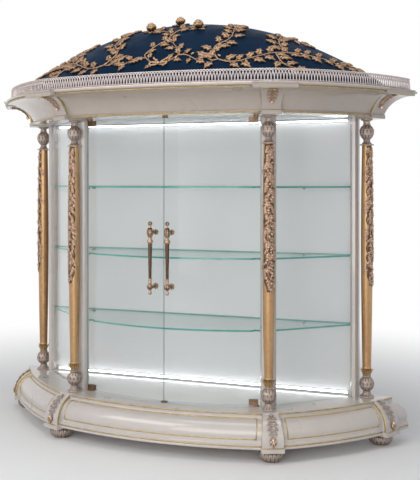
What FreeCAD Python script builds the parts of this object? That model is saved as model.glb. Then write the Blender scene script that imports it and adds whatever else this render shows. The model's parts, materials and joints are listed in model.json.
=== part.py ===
import FreeCAD, Part
import math
import os

# Bow-fronted oval display cabinet, millimetres.
# Plan: u runs to the right, v forward from the inner face of the back wall, z up from the floor.

# Heights, each counted up from the one before
FOOT_TALL = 50.0
BLOCK_DROP = 8.0
BASE_TALL = 122.0
DECK_THICK = 17.0
COLUMN_TALL = 1292.0
SEAT_DROP = 8.0
CORNICE_TALL = 117.0
GALLERY_TALL = 62.0
BASE_BOTTOM = FOOT_TALL + BLOCK_DROP
DECK_UNDER = BASE_BOTTOM + BASE_TALL
DECK_TOP = DECK_UNDER + DECK_THICK
BRACKET_BOTTOM = DECK_TOP + COLUMN_TALL
CORNICE_BOTTOM = BRACKET_BOTTOM + SEAT_DROP
CORNICE_TOP = CORNICE_BOTTOM + CORNICE_TALL
GALLERY_TOP = CORNICE_TOP + GALLERY_TALL

# Rear face of the cabinet, behind the inner face of the back wall
BACK = -20.0

# Column axes, and the direction each block and bracket faces, in degrees from straight ahead
FRONT_COLUMN = (480.0, 370.0)
BACK_COLUMN = (858.0, 18.0)
FRONT_TURN = 22.7
BACK_TURN = 60.0
FRONT_FOOT = 74.0
BACK_FOOT = 77.0

# Lower edge of the base: middle of the front, corner behind the front block, end at the wall, side bow
BASE_FRONT = 561.0
BASE_CORNER = (529.0, 488.0)
BASE_END = (1024.0, 15.0)
BASE_SIDE_BOW = 41.0
BASE_RING = 200.0
BASE_BAND = 40.0

# Upper edge of the cornice, measured the same way
CORNICE_FRONT = 634.0
CORNICE_CORNER = (562.0, 566.0)
CORNICE_END = (1065.0, 29.0)
CORNICE_SIDE_BOW = 66.0
CORNICE_RING = 250.0
COVE_REACH = 136.0
MITRE_LAP = 160.0
V_MID = (CORNICE_FRONT + BACK) / 2

# Glass
GLASS = 6.0
DOOR_BOW = 82.7
DOOR_APEX = 414.0
DOOR_EDGE = 432.0
DOOR_RADIUS = (DOOR_EDGE ** 2 + DOOR_BOW ** 2) / (2 * DOOR_BOW)
DOOR_BOTTOM = DECK_TOP + 6.0
DOOR_TOP = BRACKET_BOTTOM - 1.0
MEETING_GAP = 1.5
SHELF_RISES = (338.0, 660.0, 981.0)
SHELF_THICK = 8.0
SHELF_CLEAR = 6.0
SWING_CLEAR = 2.0
WALL_PIN_U = 560.0

# Corner posts
FRONT_POST = (466.0, 317.0)
FRONT_POST_TURN = 32.0
POST_WIDE = 66.0
POST_DEEP = 35.0
BACK_POST = (807.0, 25.0)

# Hinges
PIVOT_U = 415.0
PIN_RADIUS = 5.0
PIN_CLEAR = 0.05
CLAMP_LONG = 42.0
CLAMP_TALL = 25.0
CLAMP_THICK = 16.0
PIVOT_PLATE = 4.0
RUN_GAP = 0.3

# Dome
DOME_END_GAP = 56.0
DOME_FRONT_GAP = 19.0
DOME_SET = 36.0
DOME_RISE = 347.0
DOME_SHELL = 16.0
TOP_BOARD = 12.0
DOME_TOP = CORNICE_TOP + TOP_BOARD + DOME_RISE
CROWN_RADIUS = 1400.0
CROWN_REACH = 560.0
ROSEBUDS = ((-18.0, 150.0), (-132.0, 236.0), (106.0, 240.0))
BUD_RADIUS = 22.0
BUD_TALL = 42.0

# Gallery
GALLERY_INSET = 30.0
GALLERY_THICK = 4.0
LATTICE_PITCH = 26.0


def at(u, v, z=0.0):
    """A point of the plan in the shared frame, front towards -Y."""
    return FreeCAD.Vector(u, V_MID - v, z)


UP = FreeCAD.Vector(0, 0, 1)


def outline(place, start, steps):
    """Face from 2-D steps: (x, y) is a straight line, (x, y, mx, my) an arc by way of (mx, my)."""
    edges = []
    here = start
    for step in steps:
        end = (step[0], step[1])
        if len(step) == 2:
            edges.append(Part.makeLine(place(*here), place(*end)))
        else:
            edges.append(Part.Arc(place(*here), place(step[2], step[3]), place(*end)).toShape())
        here = end
    if here != start:
        edges.append(Part.makeLine(place(*here), place(*start)))
    return Part.Face(Part.Wire(edges))


def turned(u, v, start, steps):
    """Solid of revolution about the upright axis through (u, v), profile as (radius, z)."""
    face = outline(lambda r, z: at(u + r, v, z), start, steps)
    return face.revolve(at(u, v), UP, 360)


def smooth_turned(u, v, points):
    """Solid of revolution whose side runs smoothly through (radius, z) points."""
    curve = Part.BSplineCurve()
    curve.interpolate([at(u + r, v, z) for r, z in points])
    low, high = points[0][1], points[-1][1]
    edges = [curve.toShape(), Part.makeLine(at(u + points[-1][0], v, high), at(u, v, high)),
             Part.makeLine(at(u, v, high), at(u, v, low)),
             Part.makeLine(at(u, v, low), at(u + points[0][0], v, low))]
    return Part.Face(Part.Wire(edges)).revolve(at(u, v), UP, 360)


def box(u0, u1, v0, v1, z0, z1):
    return Part.makeBox(u1 - u0, v1 - v0, z1 - z0, at(u0, v1, z0))


def mirrored(shape):
    return shape.mirror(FreeCAD.Vector(0, 0, 0), FreeCAD.Vector(1, 0, 0))


class Arc:
    """A circular bay of the plan. Angles are degrees from straight ahead, growing to the right."""

    def __init__(self, u, v, radius):
        self.u, self.v, self.radius = u, v, radius

    def point(self, degrees, d=0.0):
        a = math.radians(degrees)
        r = self.radius + d
        return self.u + r * math.sin(a), self.v + r * math.cos(a)

    def sweep(self, a0, a1, start, steps):
        """Carry a (d, z) profile along the bay, d measured outward of the bay's own circle."""
        def place(d, z):
            u, v = self.point(a0, d)
            return at(u, v, z)
        return outline(place, start, steps).revolve(at(self.u, self.v), UP, a1 - a0)

    def band(self, a0, a1, d0, d1, z0, z1):
        return self.sweep(a0, a1, (d0, z0), [(d1, z0), (d1, z1), (d0, z1)])

    def angle_at_u(self, u, d=0.0):
        return math.degrees(math.asin((u - self.u) / (self.radius + d)))

    def angle_at_v(self, v, d=0.0):
        return math.degrees(math.acos((v - self.v) / (self.radius + d)))


def middle_arc(apex, corner):
    rise = apex - corner[1]
    radius = (corner[0] ** 2 + rise ** 2) / (2 * rise)
    return Arc(0.0, apex - radius, radius)


def side_arc(start, end, bow):
    chord = math.hypot(end[0] - start[0], end[1] - start[1])
    radius = ((chord / 2) ** 2 + bow ** 2) / (2 * bow)
    out_u, out_v = (start[1] - end[1]) / chord, (end[0] - start[0]) / chord
    mid_u, mid_v = (start[0] + end[0]) / 2, (start[1] + end[1]) / 2
    return Arc(mid_u - out_u * (radius - bow), mid_v - out_v * (radius - bow), radius)


class Local:
    """Axes at a column: n outward, t to the right along the front, z up."""

    def __init__(self, origin, turn):
        self.origin = origin
        self.sin, self.cos = math.sin(math.radians(turn)), math.cos(math.radians(turn))

    def plan(self, n, t):
        return (self.origin[0] + n * self.sin + t * self.cos,
                self.origin[1] + n * self.cos - t * self.sin)

    def at(self, n, t, z):
        return at(*self.plan(n, t), z)

    def along_t(self, length):
        return FreeCAD.Vector(length * self.cos, length * self.sin, 0)

    def along_n(self, length):
        return FreeCAD.Vector(length * self.sin, -length * self.cos, 0)

    def prism(self, half_wide, start, steps):
        """Profile in (n, z) carried across the width."""
        face = outline(lambda n, z: self.at(n, -half_wide, z), start, steps)
        return face.extrude(self.along_t(2 * half_wide))

    def front_cut(self, n0, n1, start, steps):
        """Outline in (t, z) carried from n0 out to n1."""
        face = outline(lambda t, z: self.at(n0, t, z), start, steps)
        return face.extrude(self.along_n(n1 - n0))

    def half(self, side):
        """Everything on one side of the upright plane through the origin along n."""
        reach = 3000.0
        ring = [(-reach, 0), (reach, 0), (reach, side * reach), (-reach, side * reach)]
        face = Part.Face(Part.makePolygon([self.at(n, t, 0) for n, t in ring + ring[:1]]))
        return face.extrude(UP * 2500)


front = Local(FRONT_COLUMN, FRONT_TURN)
back = Local(BACK_COLUMN, BACK_TURN)
ROOM = box(-2000, 2000, BACK, 2000, 0, 2500)


def ring_parts(middle, side, start, steps):
    """Middle and right-hand lengths of a moulding, mitred behind the front column."""
    right_half = front.half(1)
    left_half = front.half(-1)
    span = middle.angle_at_u(FRONT_COLUMN[0] + MITRE_LAP)
    centre = middle.sweep(-span, span, start, steps).common(left_half).common(mirrored(left_half))
    first = side.angle_at_u(FRONT_COLUMN[0] - MITRE_LAP / 2)
    last = side.angle_at_v(BACK - 70)
    right = side.sweep(first, last, start, steps).common(right_half).common(ROOM)
    return centre, right


def plan_face(middle, side, d, v_back, z):
    """Floor outline of both side bays and the middle bay, moved by d, cut straight at v_back."""
    r1, r2 = middle.radius + d, side.radius + d
    du, dv = side.u - middle.u, side.v - middle.v
    gap = math.hypot(du, dv)
    along = (gap ** 2 + r1 ** 2 - r2 ** 2) / (2 * gap)
    across = math.sqrt(r1 ** 2 - along ** 2)
    hits = [(middle.u + along * du / gap - s * across * dv / gap,
             middle.v + along * dv / gap + s * across * du / gap) for s in (1, -1)]
    corner = min(hits, key=lambda hit: math.hypot(hit[0] - FRONT_COLUMN[0], hit[1] - FRONT_COLUMN[1]))
    turn = math.degrees(math.atan2(corner[0] - side.u, corner[1] - side.v))
    last = side.angle_at_v(v_back, d)
    end = side.point(last, d)
    mid = side.point((turn + last) / 2, d)
    tip = middle.point(0, d)
    steps = [end + (mid[0], mid[1]), (-end[0], end[1]),
             (-corner[0], corner[1], -mid[0], mid[1]), corner + tip]
    return outline(lambda u, v: at(u, v, z), corner, steps)


parts = {}


def pair(name, shape):
    parts[name + "_right"] = shape
    parts[name + "_left"] = mirrored(shape)


# Base blocks under the columns, narrow at the top and wide at the bottom
def base_block(frame, edge):
    profile = frame.prism(60, (10, FOOT_TALL), [
        (edge + 14, FOOT_TALL), (edge + 14, FOOT_TALL + 16), (edge + 10, FOOT_TALL + 20),
        (36, DECK_TOP, edge - 12, DECK_TOP - 44), (10, DECK_TOP)])
    taper = frame.front_cut(0, edge + 40, (-50, FOOT_TALL), [
        (50, FOOT_TALL), (50, FOOT_TALL + 20), (47, FOOT_TALL + 22),
        (34, DECK_TOP, 44, FOOT_TALL + 84), (-34, DECK_TOP),
        (-47, FOOT_TALL + 22, -44, FOOT_TALL + 84), (-50, FOOT_TALL + 20)])
    return profile.common(taper)


# How far the moulded edge stands out from a column along the direction it faces
def edge_distance(frame, arc):
    n = 0.0
    for _ in range(40):
        u, v = frame.plan(n, 0)
        n += arc.radius - math.hypot(u - arc.u, v - arc.v)
    return n


base_middle = middle_arc(BASE_FRONT, BASE_CORNER)
base_side = side_arc(BASE_CORNER, BASE_END, BASE_SIDE_BOW)
front_edge = edge_distance(front, base_side)
back_edge = edge_distance(back, base_side)
block_front = base_block(front, front_edge)
block_back = base_block(back, back_edge)
pair("base_block_front", block_front)
pair("base_block_back", block_back)

# Glass line of the plan: the bowed doors and the flat side panes
door_arc = Arc(0.0, DOOR_APEX - DOOR_RADIUS, DOOR_RADIUS)
pane_turn = math.degrees(math.atan2(FRONT_POST[1] - BACK_POST[1], BACK_POST[0] - FRONT_POST[0]))
pane = Local(FRONT_POST, pane_turn)
pane_long = math.hypot(FRONT_POST[1] - BACK_POST[1], BACK_POST[0] - FRONT_POST[0])


def glass_face(inset, v_back, z):
    """Plan of the space inside the glass, drawn in from the middle of the panes."""
    arc_d = -GLASS / 2 - inset
    low, high = 0.0, math.radians(60)
    for _ in range(60):
        a = (low + high) / 2
        u, v = door_arc.point(math.degrees(a), arc_d)
        outside = (u - FRONT_POST[0]) * pane.sin + (v - FRONT_POST[1]) * pane.cos + inset
        low, high = (a, high) if outside < 0 else (low, a)
    corner = door_arc.point(math.degrees(low), arc_d)
    run = (corner[1] - v_back) / pane.sin
    end = (corner[0] + run * pane.cos, v_back)
    tip = door_arc.point(0, arc_d)
    steps = [end, (-end[0], end[1]), (-corner[0], corner[1]), corner + tip]
    return outline(lambda u, v: at(u, v, z), corner, steps)


# Deck inside the glass line, let into the base ring
deck = glass_face(0, 0, DECK_UNDER).extrude(UP * (DECK_TOP - DECK_UNDER))
parts["deck"] = deck

# Base moulding: lip, hollow, large swelling, plain band and foot bead
swell_low, swell_high = BASE_BOTTOM + BASE_BAND, DECK_UNDER - 6
swell_mid = swell_low + 0.66 * (swell_high - swell_low)
base_profile = [
    (-4, BASE_BOTTOM), (0, BASE_BOTTOM + 6, -1, BASE_BOTTOM + 2), (-4, BASE_BOTTOM + 12, -1, BASE_BOTTOM + 10),
    (-5, BASE_BOTTOM + 15), (-2, BASE_BOTTOM + 17), (-2, BASE_BOTTOM + 24), (-6, BASE_BOTTOM + 27),
    (-8, swell_low), (-58, swell_high, -19, swell_mid),
    (-62, DECK_UNDER - 5), (-66, DECK_UNDER + 5, -65, DECK_UNDER - 1),
    (-66, DECK_UNDER + 8), (-71, DECK_TOP, -65, DECK_TOP - 3), (-BASE_RING, DECK_TOP)]
base_centre, base_right = ring_parts(base_middle, base_side, (-BASE_RING, BASE_BOTTOM), base_profile)
parts["base_moulding_center"] = base_centre.cut(deck).cut(block_front).cut(mirrored(block_front))
pair("base_moulding", base_right.cut(deck).cut(block_front).cut(block_back))

# Bottom board and rear rail of the base
floor_plan = plan_face(base_middle, base_side, -BASE_RING, 0, BASE_BOTTOM)
parts["base_floor"] = floor_plan.extrude(UP * 18)
rail = box(-900, 900, BACK, 0, BASE_BOTTOM, DECK_TOP)
parts["base_back_rail"] = rail.cut(base_right).cut(mirrored(base_right))


# Bun feet
def foot(frame, n):
    u, v = frame.plan(n, 0)
    tall = FOOT_TALL
    return turned(u, v, (0, 0), [
        (34, 0), (40, 0.1 * tall, 39, 0.03 * tall), (56, 0.6 * tall, 53, 0.32 * tall),
        (47, 0.87 * tall, 55, 0.78 * tall), (44, 0.9 * tall), (46, tall), (0, tall)])


pair("foot_front", foot(front, FRONT_FOOT))
pair("foot_back", foot(back, BACK_FOOT))

# Corner posts
post_frame = Local(FRONT_POST, FRONT_POST_TURN)
w, h = POST_WIDE / 2, POST_DEEP / 2
post_plan = [(-h, -w), (-h, w), (h - 10, w), (h, w - 11), (h, 11 - w), (h - 10, -w)]
ring = [post_frame.at(n, t, DECK_TOP) for n, t in post_plan + post_plan[:1]]
post_front = Part.Face(Part.makePolygon(ring)).extrude(UP * (CORNICE_BOTTOM - DECK_TOP))
bu, bv = BACK_POST
post_plan = [(bu - 23, BACK), (bu + 14, BACK), (bu + 14, bv), (bu + 2, bv + 23), (bu - 11, bv + 23),
             (bu - 23, bv + 11)]
ring = [at(u, v, DECK_TOP) for u, v in post_plan + post_plan[:1]]
post_back = Part.Face(Part.makePolygon(ring)).extrude(UP * (CORNICE_BOTTOM - DECK_TOP))

# Back panel between the rear posts
parts["back_panel"] = box(-(bu - 23), bu - 23, BACK + 2, 0, DECK_TOP, CORNICE_BOTTOM)

# Flat side panes between the posts
half = GLASS / 2
ring = [(-half, 0), (half, 0), (half, pane_long), (-half, pane_long)]
ring = [pane.at(n, t, DECK_TOP) for n, t in ring + ring[:1]]
side_glass = Part.Face(Part.makePolygon(ring)).extrude(UP * (CORNICE_BOTTOM - DECK_TOP))
pair("side_glass", side_glass.cut(post_front).cut(post_back))

# Pivot line of the doors, and the room that the short end of a leaf needs to turn
pivot_d = -GLASS / 2
pivot_angle = door_arc.angle_at_u(PIVOT_U, pivot_d)
edge_angle = door_arc.angle_at_u(DOOR_EDGE)
pivot = door_arc.point(pivot_angle, pivot_d)
short_end = max(math.dist(pivot, door_arc.point(edge_angle, d)) for d in (-GLASS, 0))
swing_room = Part.makeCylinder(short_end + SWING_CLEAR, CORNICE_TOP, at(*pivot))


# Glass shelves, cleared around the posts, on turned pins
def grown_post(points):
    """Post plan made a little larger, for the notch in a shelf."""
    cu = sum(p[0] for p in points) / len(points)
    cv = sum(p[1] for p in points) / len(points)
    ring = []
    for u, v in points:
        far = math.hypot(u - cu, v - cv)
        ring.append(at(u + (u - cu) * 4 / far, v + (v - cv) * 4 / far, 0))
    return Part.Face(Part.makePolygon(ring + ring[:1])).extrude(UP * CORNICE_TOP)


front_plan = [post_frame.plan(n, t) for n, t in [(-h, -w), (-h, w), (h, w), (h, -w)]]
notch_front = grown_post(front_plan)
notch_back = grown_post(post_plan)
between_posts = box(10 - bu, bu - 10, 0, DOOR_APEX, 0, CORNICE_TOP)
pins = []
for number, top in enumerate((DECK_TOP + rise for rise in SHELF_RISES), 1):
    shelf = glass_face(SHELF_CLEAR, 2, top - SHELF_THICK).extrude(UP * SHELF_THICK).common(between_posts)
    for notch in (notch_front, notch_back, swing_room):
        shelf = shelf.cut(notch).cut(mirrored(notch))
    parts["shelf_%d" % number] = shelf
    level = top - SHELF_THICK - 4
    start = post_frame.at(-h, 0, level)
    pin = Part.makeCylinder(4, 24, start, post_frame.along_n(-1))
    wall_pin = Part.makeCylinder(4, 24, at(WALL_PIN_U, 0, level), FreeCAD.Vector(0, -1, 0))
    pins += [pin, mirrored(pin), wall_pin, mirrored(wall_pin)]
parts["shelf_pins"] = Part.makeCompound(pins)

# Light strips at the top and bottom of the back wall
strip = 14.0
led_long = bu - 40
lens = [(0, 0), (strip, 0), (strip, strip - 6), (0, strip, strip - 3, strip - 3)]
low = outline(lambda v, z: at(-led_long, v, DECK_TOP + z), lens[0], lens[1:])
high = outline(lambda v, z: at(-led_long, v, CORNICE_BOTTOM - z), lens[0], lens[1:])
along = FreeCAD.Vector(2 * led_long, 0, 0)
parts["light_strips"] = Part.makeCompound([low.extrude(along), high.extrude(along)])


# Columns: ball foot, swelling shaft, ball capital
def column(frame):
    u, v = frame.origin
    z0, z1 = DECK_TOP, BRACKET_BOTTOM
    ball_low, ball_high = z0 + 62, z1 - 59
    bottom = turned(u, v, (0, z0), [
        (31, z0), (31, z0 + 6), (17, z0 + 31, 20, z0 + 17), (34.5, ball_low, 28, z0 + 40),
        (17, z0 + 93, 28, z0 + 84), (17, z0 + 106), (30, z0 + 132, 19, z0 + 121),
        (29, z0 + 137), (20, z0 + 140), (0, z0 + 140)])
    top = turned(u, v, (0, z1 - 122), [
        (22, z1 - 122), (30, z1 - 121), (30, z1 - 117), (16, z1 - 94, 19, z1 - 108),
        (34, ball_high, 27, z1 - 82), (15, z1 - 26, 27, z1 - 36), (15, z1 - 20),
        (27, z1 - 5, 17, z1 - 10), (27, z1), (0, z1)])
    low, high = z0 + 140, z1 - 122
    tall = high - low
    shaft = smooth_turned(u, v, [(20, low), (23.5, low + 0.16 * tall), (27, low + 0.5 * tall),
                                 (25.5, low + 0.8 * tall), (22, high)])
    return bottom, shaft, top


for label, frame in (("front", front), ("back", back)):
    bottom, shaft, top = column(frame)
    pair("column_foot_" + label, bottom)
    pair("column_shaft_" + label, shaft)
    pair("column_capital_" + label, top)

# Cornice: foot fillet, deep cove, top bead
cornice_middle = middle_arc(CORNICE_FRONT, CORNICE_CORNER)
cornice_side = side_arc(CORNICE_CORNER, CORNICE_END, CORNICE_SIDE_BOW)
front_top = edge_distance(front, cornice_side)
back_top = edge_distance(back, cornice_side)


# Coved bracket over a column, with a square seat below and a wide block at the top
def bracket(frame, edge):
    low = edge - COVE_REACH
    head = CORNICE_TOP - 26
    out = edge + 8
    profile = frame.prism(110, (-32, BRACKET_BOTTOM), [
        (low + 16, BRACKET_BOTTOM), (low + 16, CORNICE_BOTTOM + 8), (low + 10, CORNICE_BOTTOM + 14),
        (out - 16, head, low + 38, CORNICE_BOTTOM + 66), (out - 10, head), (out - 6, head + 5),
        (out - 6, head + 18), (out, head + 20), (out, CORNICE_TOP), (2, CORNICE_TOP),
        (2, CORNICE_BOTTOM), (-32, CORNICE_BOTTOM)])
    shape = frame.front_cut(-40, edge + 40, (-44, BRACKET_BOTTOM), [
        (44, BRACKET_BOTTOM), (44, CORNICE_BOTTOM + 14), (58, head, 45, CORNICE_BOTTOM + 60),
        (92, head), (97, head + 6), (97, CORNICE_TOP), (-97, CORNICE_TOP), (-97, head + 6),
        (-92, head), (-58, head), (-44, CORNICE_BOTTOM + 14, -45, CORNICE_BOTTOM + 60)])
    return profile.common(shape)


bracket_front = bracket(front, front_top)
bracket_back = bracket(back, back_top).common(ROOM)
pair("bracket_front", bracket_front)
pair("bracket_back", bracket_back)
pair("post_front", post_front.cut(bracket_front))
pair("post_back", post_back.cut(bracket_back))
cove = COVE_REACH
cornice_profile = [
    (-cove, CORNICE_BOTTOM), (-cove, CORNICE_BOTTOM + 10), (-cove - 4, CORNICE_BOTTOM + 14),
    (-14, CORNICE_TOP - 20, -cove + 34, CORNICE_BOTTOM + 68), (-10, CORNICE_TOP - 20),
    (-10, CORNICE_TOP - 12), (-5, CORNICE_TOP - 11), (-5, CORNICE_TOP, 0, CORNICE_TOP - 5.5),
    (-CORNICE_RING, CORNICE_TOP)]
cornice_centre, cornice_right = ring_parts(
    cornice_middle, cornice_side, (-CORNICE_RING, CORNICE_BOTTOM), cornice_profile)
parts["cornice_center"] = cornice_centre.cut(bracket_front).cut(mirrored(bracket_front))
pair("cornice", cornice_right.cut(bracket_front).cut(bracket_back))
rail = box(-900, 900, BACK, 0, CORNICE_BOTTOM, CORNICE_TOP)
parts["cornice_back_rail"] = rail.cut(cornice_right).cut(mirrored(cornice_right))
ceiling = plan_face(cornice_middle, cornice_side, -CORNICE_RING, 0, CORNICE_BOTTOM)
parts["ceiling_panel"] = ceiling.extrude(UP * 12)

# Board that closes the top inside the gallery
board = plan_face(cornice_middle, cornice_side, -GALLERY_INSET - GALLERY_THICK - 4, BACK, CORNICE_TOP)
parts["top_board"] = board.extrude(UP * TOP_BOARD)


# Pierced gallery: two rails and a strip of diamond openings
def gallery_length(arc, a0, a1):
    d1 = -GALLERY_INSET
    d0 = d1 - GALLERY_THICK
    strip = arc.band(a0, a1, d0, d1, CORNICE_TOP, GALLERY_TOP)
    low = arc.band(a0, a1, d0, d1 + 3, CORNICE_TOP, CORNICE_TOP + 7)
    high = arc.band(a0, a1, d0 - 1.5, d1 + 1.5, GALLERY_TOP - 6, GALLERY_TOP)
    whole = strip.fuse([low, high]).removeSplitter()
    step = math.degrees(LATTICE_PITCH / arc.radius)
    count = int((a1 - a0) / step)
    mid = (CORNICE_TOP + 10 + GALLERY_TOP - 9) / 2
    tall = (GALLERY_TOP - 9 - CORNICE_TOP - 10) / 2
    holes = []
    for i in range(count):
        a = (a0 + a1) / 2 + (i - (count - 1) / 2) * step
        hub = Local(arc.point(a, d0 - 5), a)
        wide = LATTICE_PITCH * 0.36
        ring = [(-wide, mid), (0, mid - tall), (wide, mid), (0, mid + tall)]
        face = Part.Face(Part.makePolygon([hub.at(0, t, z) for t, z in ring + ring[:1]]))
        holes.append(face.extrude(hub.along_n(GALLERY_THICK + 10)))
    return whole.cut(Part.makeCompound(holes))


mitre = math.degrees(math.atan2(front.plan(front_top - GALLERY_INSET, 0)[0] - cornice_middle.u,
                                front.plan(front_top - GALLERY_INSET, 0)[1] - cornice_middle.v))
mitre_point = front.plan(front_top - GALLERY_INSET, 0)
side_first = math.degrees(math.atan2(mitre_point[0] - cornice_side.u, mitre_point[1] - cornice_side.v))
side_last = cornice_side.angle_at_v(BACK, -GALLERY_INSET - GALLERY_THICK - 1.5)
left_half = front.half(-1)
gallery = gallery_length(cornice_middle, -mitre - 0.4, mitre + 0.4)
parts["gallery_center"] = gallery.common(left_half).common(mirrored(left_half))
pair("gallery", gallery_length(cornice_side, side_first - 0.8, side_last).common(front.half(1)).common(ROOM))


# Dome: half shell, closed at the back, struck from two arcs and drawn in plan to an oval
class DomeCurve:
    """Side of the dome as (radius, z): a crown arc that runs on into a flatter skirt arc."""

    def __init__(self, shrink):
        self.crown = CROWN_RADIUS - shrink
        self.crown_z = DOME_TOP - CROWN_RADIUS
        self.turn = math.asin(CROWN_REACH / CROWN_RADIUS)
        sin, cos = math.sin(self.turn), math.cos(self.turn)
        self.rim = CORNICE_TOP + TOP_BOARD
        run, drop = DOME_WIDE - CROWN_REACH, self.rim - (self.crown_z + CROWN_RADIUS * cos)
        skirt = -(run ** 2 + drop ** 2) / (2 * (run * sin + drop * cos))
        self.hub = ((CROWN_RADIUS - skirt) * sin, self.crown_z + (CROWN_RADIUS - skirt) * cos)
        self.skirt = skirt - shrink

    def crown_point(self, part):
        a = self.turn * part
        return self.crown * math.sin(a), self.crown_z + self.crown * math.cos(a)

    def skirt_point(self, part):
        last = math.acos((self.rim - self.hub[1]) / self.skirt)
        a = self.turn + (last - self.turn) * part
        return self.hub[0] + self.skirt * math.sin(a), self.hub[1] + self.skirt * math.cos(a)

    def solid(self):
        start = (0.0, self.rim)
        steps = [self.skirt_point(1), self.skirt_point(0) + self.skirt_point(0.5),
                 self.crown_point(0) + self.crown_point(0.5)]
        face = outline(lambda r, z: FreeCAD.Vector(r, 0, z), start, steps)
        return face.revolve(FreeCAD.Vector(0, 0, 0), UP, 360)

    def height(self, u, v):
        r = math.hypot(u, (v - DOME_SET) * DOME_WIDE / DOME_DEEP)
        if r < CROWN_REACH:
            return self.crown_z + math.sqrt(self.crown ** 2 - r ** 2)
        return self.hub[1] + math.sqrt(self.skirt ** 2 - (r - self.hub[0]) ** 2)


def behind(v, stretch):
    """Everything in front of the upright plane at v, before the dome is drawn in."""
    near = (DOME_SET - v) * stretch
    return Part.makeBox(6000, 3000 + near, 3000, FreeCAD.Vector(-3000, -3000, 0))


rim_line = -GALLERY_INSET - GALLERY_THICK
DOME_WIDE = cornice_side.point(cornice_side.angle_at_v(DOME_SET, rim_line), rim_line)[0] - DOME_END_GAP
DOME_DEEP = CORNICE_FRONT + rim_line - DOME_FRONT_GAP - DOME_SET
dome_curve = DomeCurve(0)
stretch = DOME_WIDE / DOME_DEEP
hollow = DomeCurve(DOME_SHELL).solid().common(behind(BACK + DOME_SHELL, stretch))
dome = dome_curve.solid().common(behind(BACK, stretch)).cut(hollow)
squeeze = FreeCAD.Matrix()
squeeze.scale(1, 1 / stretch, 1)
dome = dome.transformGeometry(squeeze)
dome.translate(at(0, DOME_SET))
parts["dome_shell"] = dome

# Three rosebuds at the crown of the dome, each square to the surface under it
buds = []
for u, v in ROSEBUDS:
    z = dome_curve.height(u, v)
    lean_u = (dome_curve.height(u + 1, v) - dome_curve.height(u - 1, v)) / 2
    lean_v = (dome_curve.height(u, v + 1) - dome_curve.height(u, v - 1)) / 2
    r, tall = BUD_RADIUS, BUD_TALL
    bud = turned(0, V_MID, (0, 0), [
        (0.6 * r, 0), (r, 0.48 * tall, 0.92 * r, 0.2 * tall),
        (0.35 * r, 0.94 * tall, 0.82 * r, 0.78 * tall), (0, tall)])
    lean = FreeCAD.Rotation(UP, FreeCAD.Vector(-lean_u, lean_v, 1))
    bud.Placement = FreeCAD.Placement(at(u, v, z - 0.02), lean)
    buds.append(bud)
parts["rosebuds"] = Part.makeCompound(buds)

# Bowed glass doors on pivots
meet_angle = math.degrees(MEETING_GAP / 2 / DOOR_RADIUS)


def door_angle(length):
    return math.degrees(length / (DOOR_RADIUS + pivot_d))


glass = door_arc.band(meet_angle, edge_angle, -GLASS, 0, DOOR_BOTTOM, DOOR_TOP)
core = pivot_angle - door_angle(12)
clamp_low = DECK_TOP + PIVOT_PLATE + RUN_GAP
clamp_high = BRACKET_BOTTOM - RUN_GAP
for z0, z1 in ((DECK_TOP, clamp_low + CLAMP_TALL), (clamp_high - CLAMP_TALL, CORNICE_BOTTOM)):
    glass = glass.cut(door_arc.band(core, edge_angle + 1, -GLASS - 2, 2, z0, z1))
pair("door_glass", glass)
clamps = []
pins = []
near = pivot_angle - door_angle(CLAMP_LONG - 7)
far = pivot_angle + door_angle(7)
d0, d1 = pivot_d - CLAMP_THICK / 2, pivot_d + CLAMP_THICK / 2
for z0, way in ((clamp_low, 1), (clamp_high, -1)):
    z1 = z0 + way * CLAMP_TALL
    body = door_arc.band(near, far, d0, d1, min(z0, z1), max(z0, z1))
    hole_start = z0 - way
    hole = Part.makeCylinder(PIN_RADIUS + PIN_CLEAR, 19, at(*pivot, hole_start), UP * way)
    clamps.append(body.cut(glass).cut(hole))
    seat = DECK_TOP if way > 0 else CORNICE_BOTTOM
    stand = abs(z0 - seat) - RUN_GAP
    plate = Part.makeCylinder(13, stand, at(*pivot, seat), UP * way)
    pin = Part.makeCylinder(PIN_RADIUS, stand + 16, at(*pivot, seat), UP * way)
    pins.append(plate.fuse(pin).removeSplitter())
pair("door_clamps", Part.makeCompound(clamps))
parts["hinge_pivots"] = Part.makeCompound(pins + [mirrored(pin) for pin in pins])

# Catch under the cornice and stop disc on the deck, where the doors meet
meet_v = DOOR_APEX - GLASS - 12
catch = box(-12, 12, meet_v - 8, meet_v + 8, CORNICE_BOTTOM - 8, CORNICE_BOTTOM)
stop = turned(0, DOOR_APEX - 8, (0, DECK_TOP), [
    (17, DECK_TOP), (17, DECK_TOP + 3), (14, DECK_TOP + 5), (0, DECK_TOP + 5)])
parts["door_stops"] = Part.makeCompound([catch, stop])

os.makedirs("parts", exist_ok=True)
for name, shape in parts.items():
    shape.exportStep("parts/" + name + ".step")
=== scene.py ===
import json
import random
from math import acos, atan2, cos, dist, exp, hypot, pi, radians, sin, sqrt, tau

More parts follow.
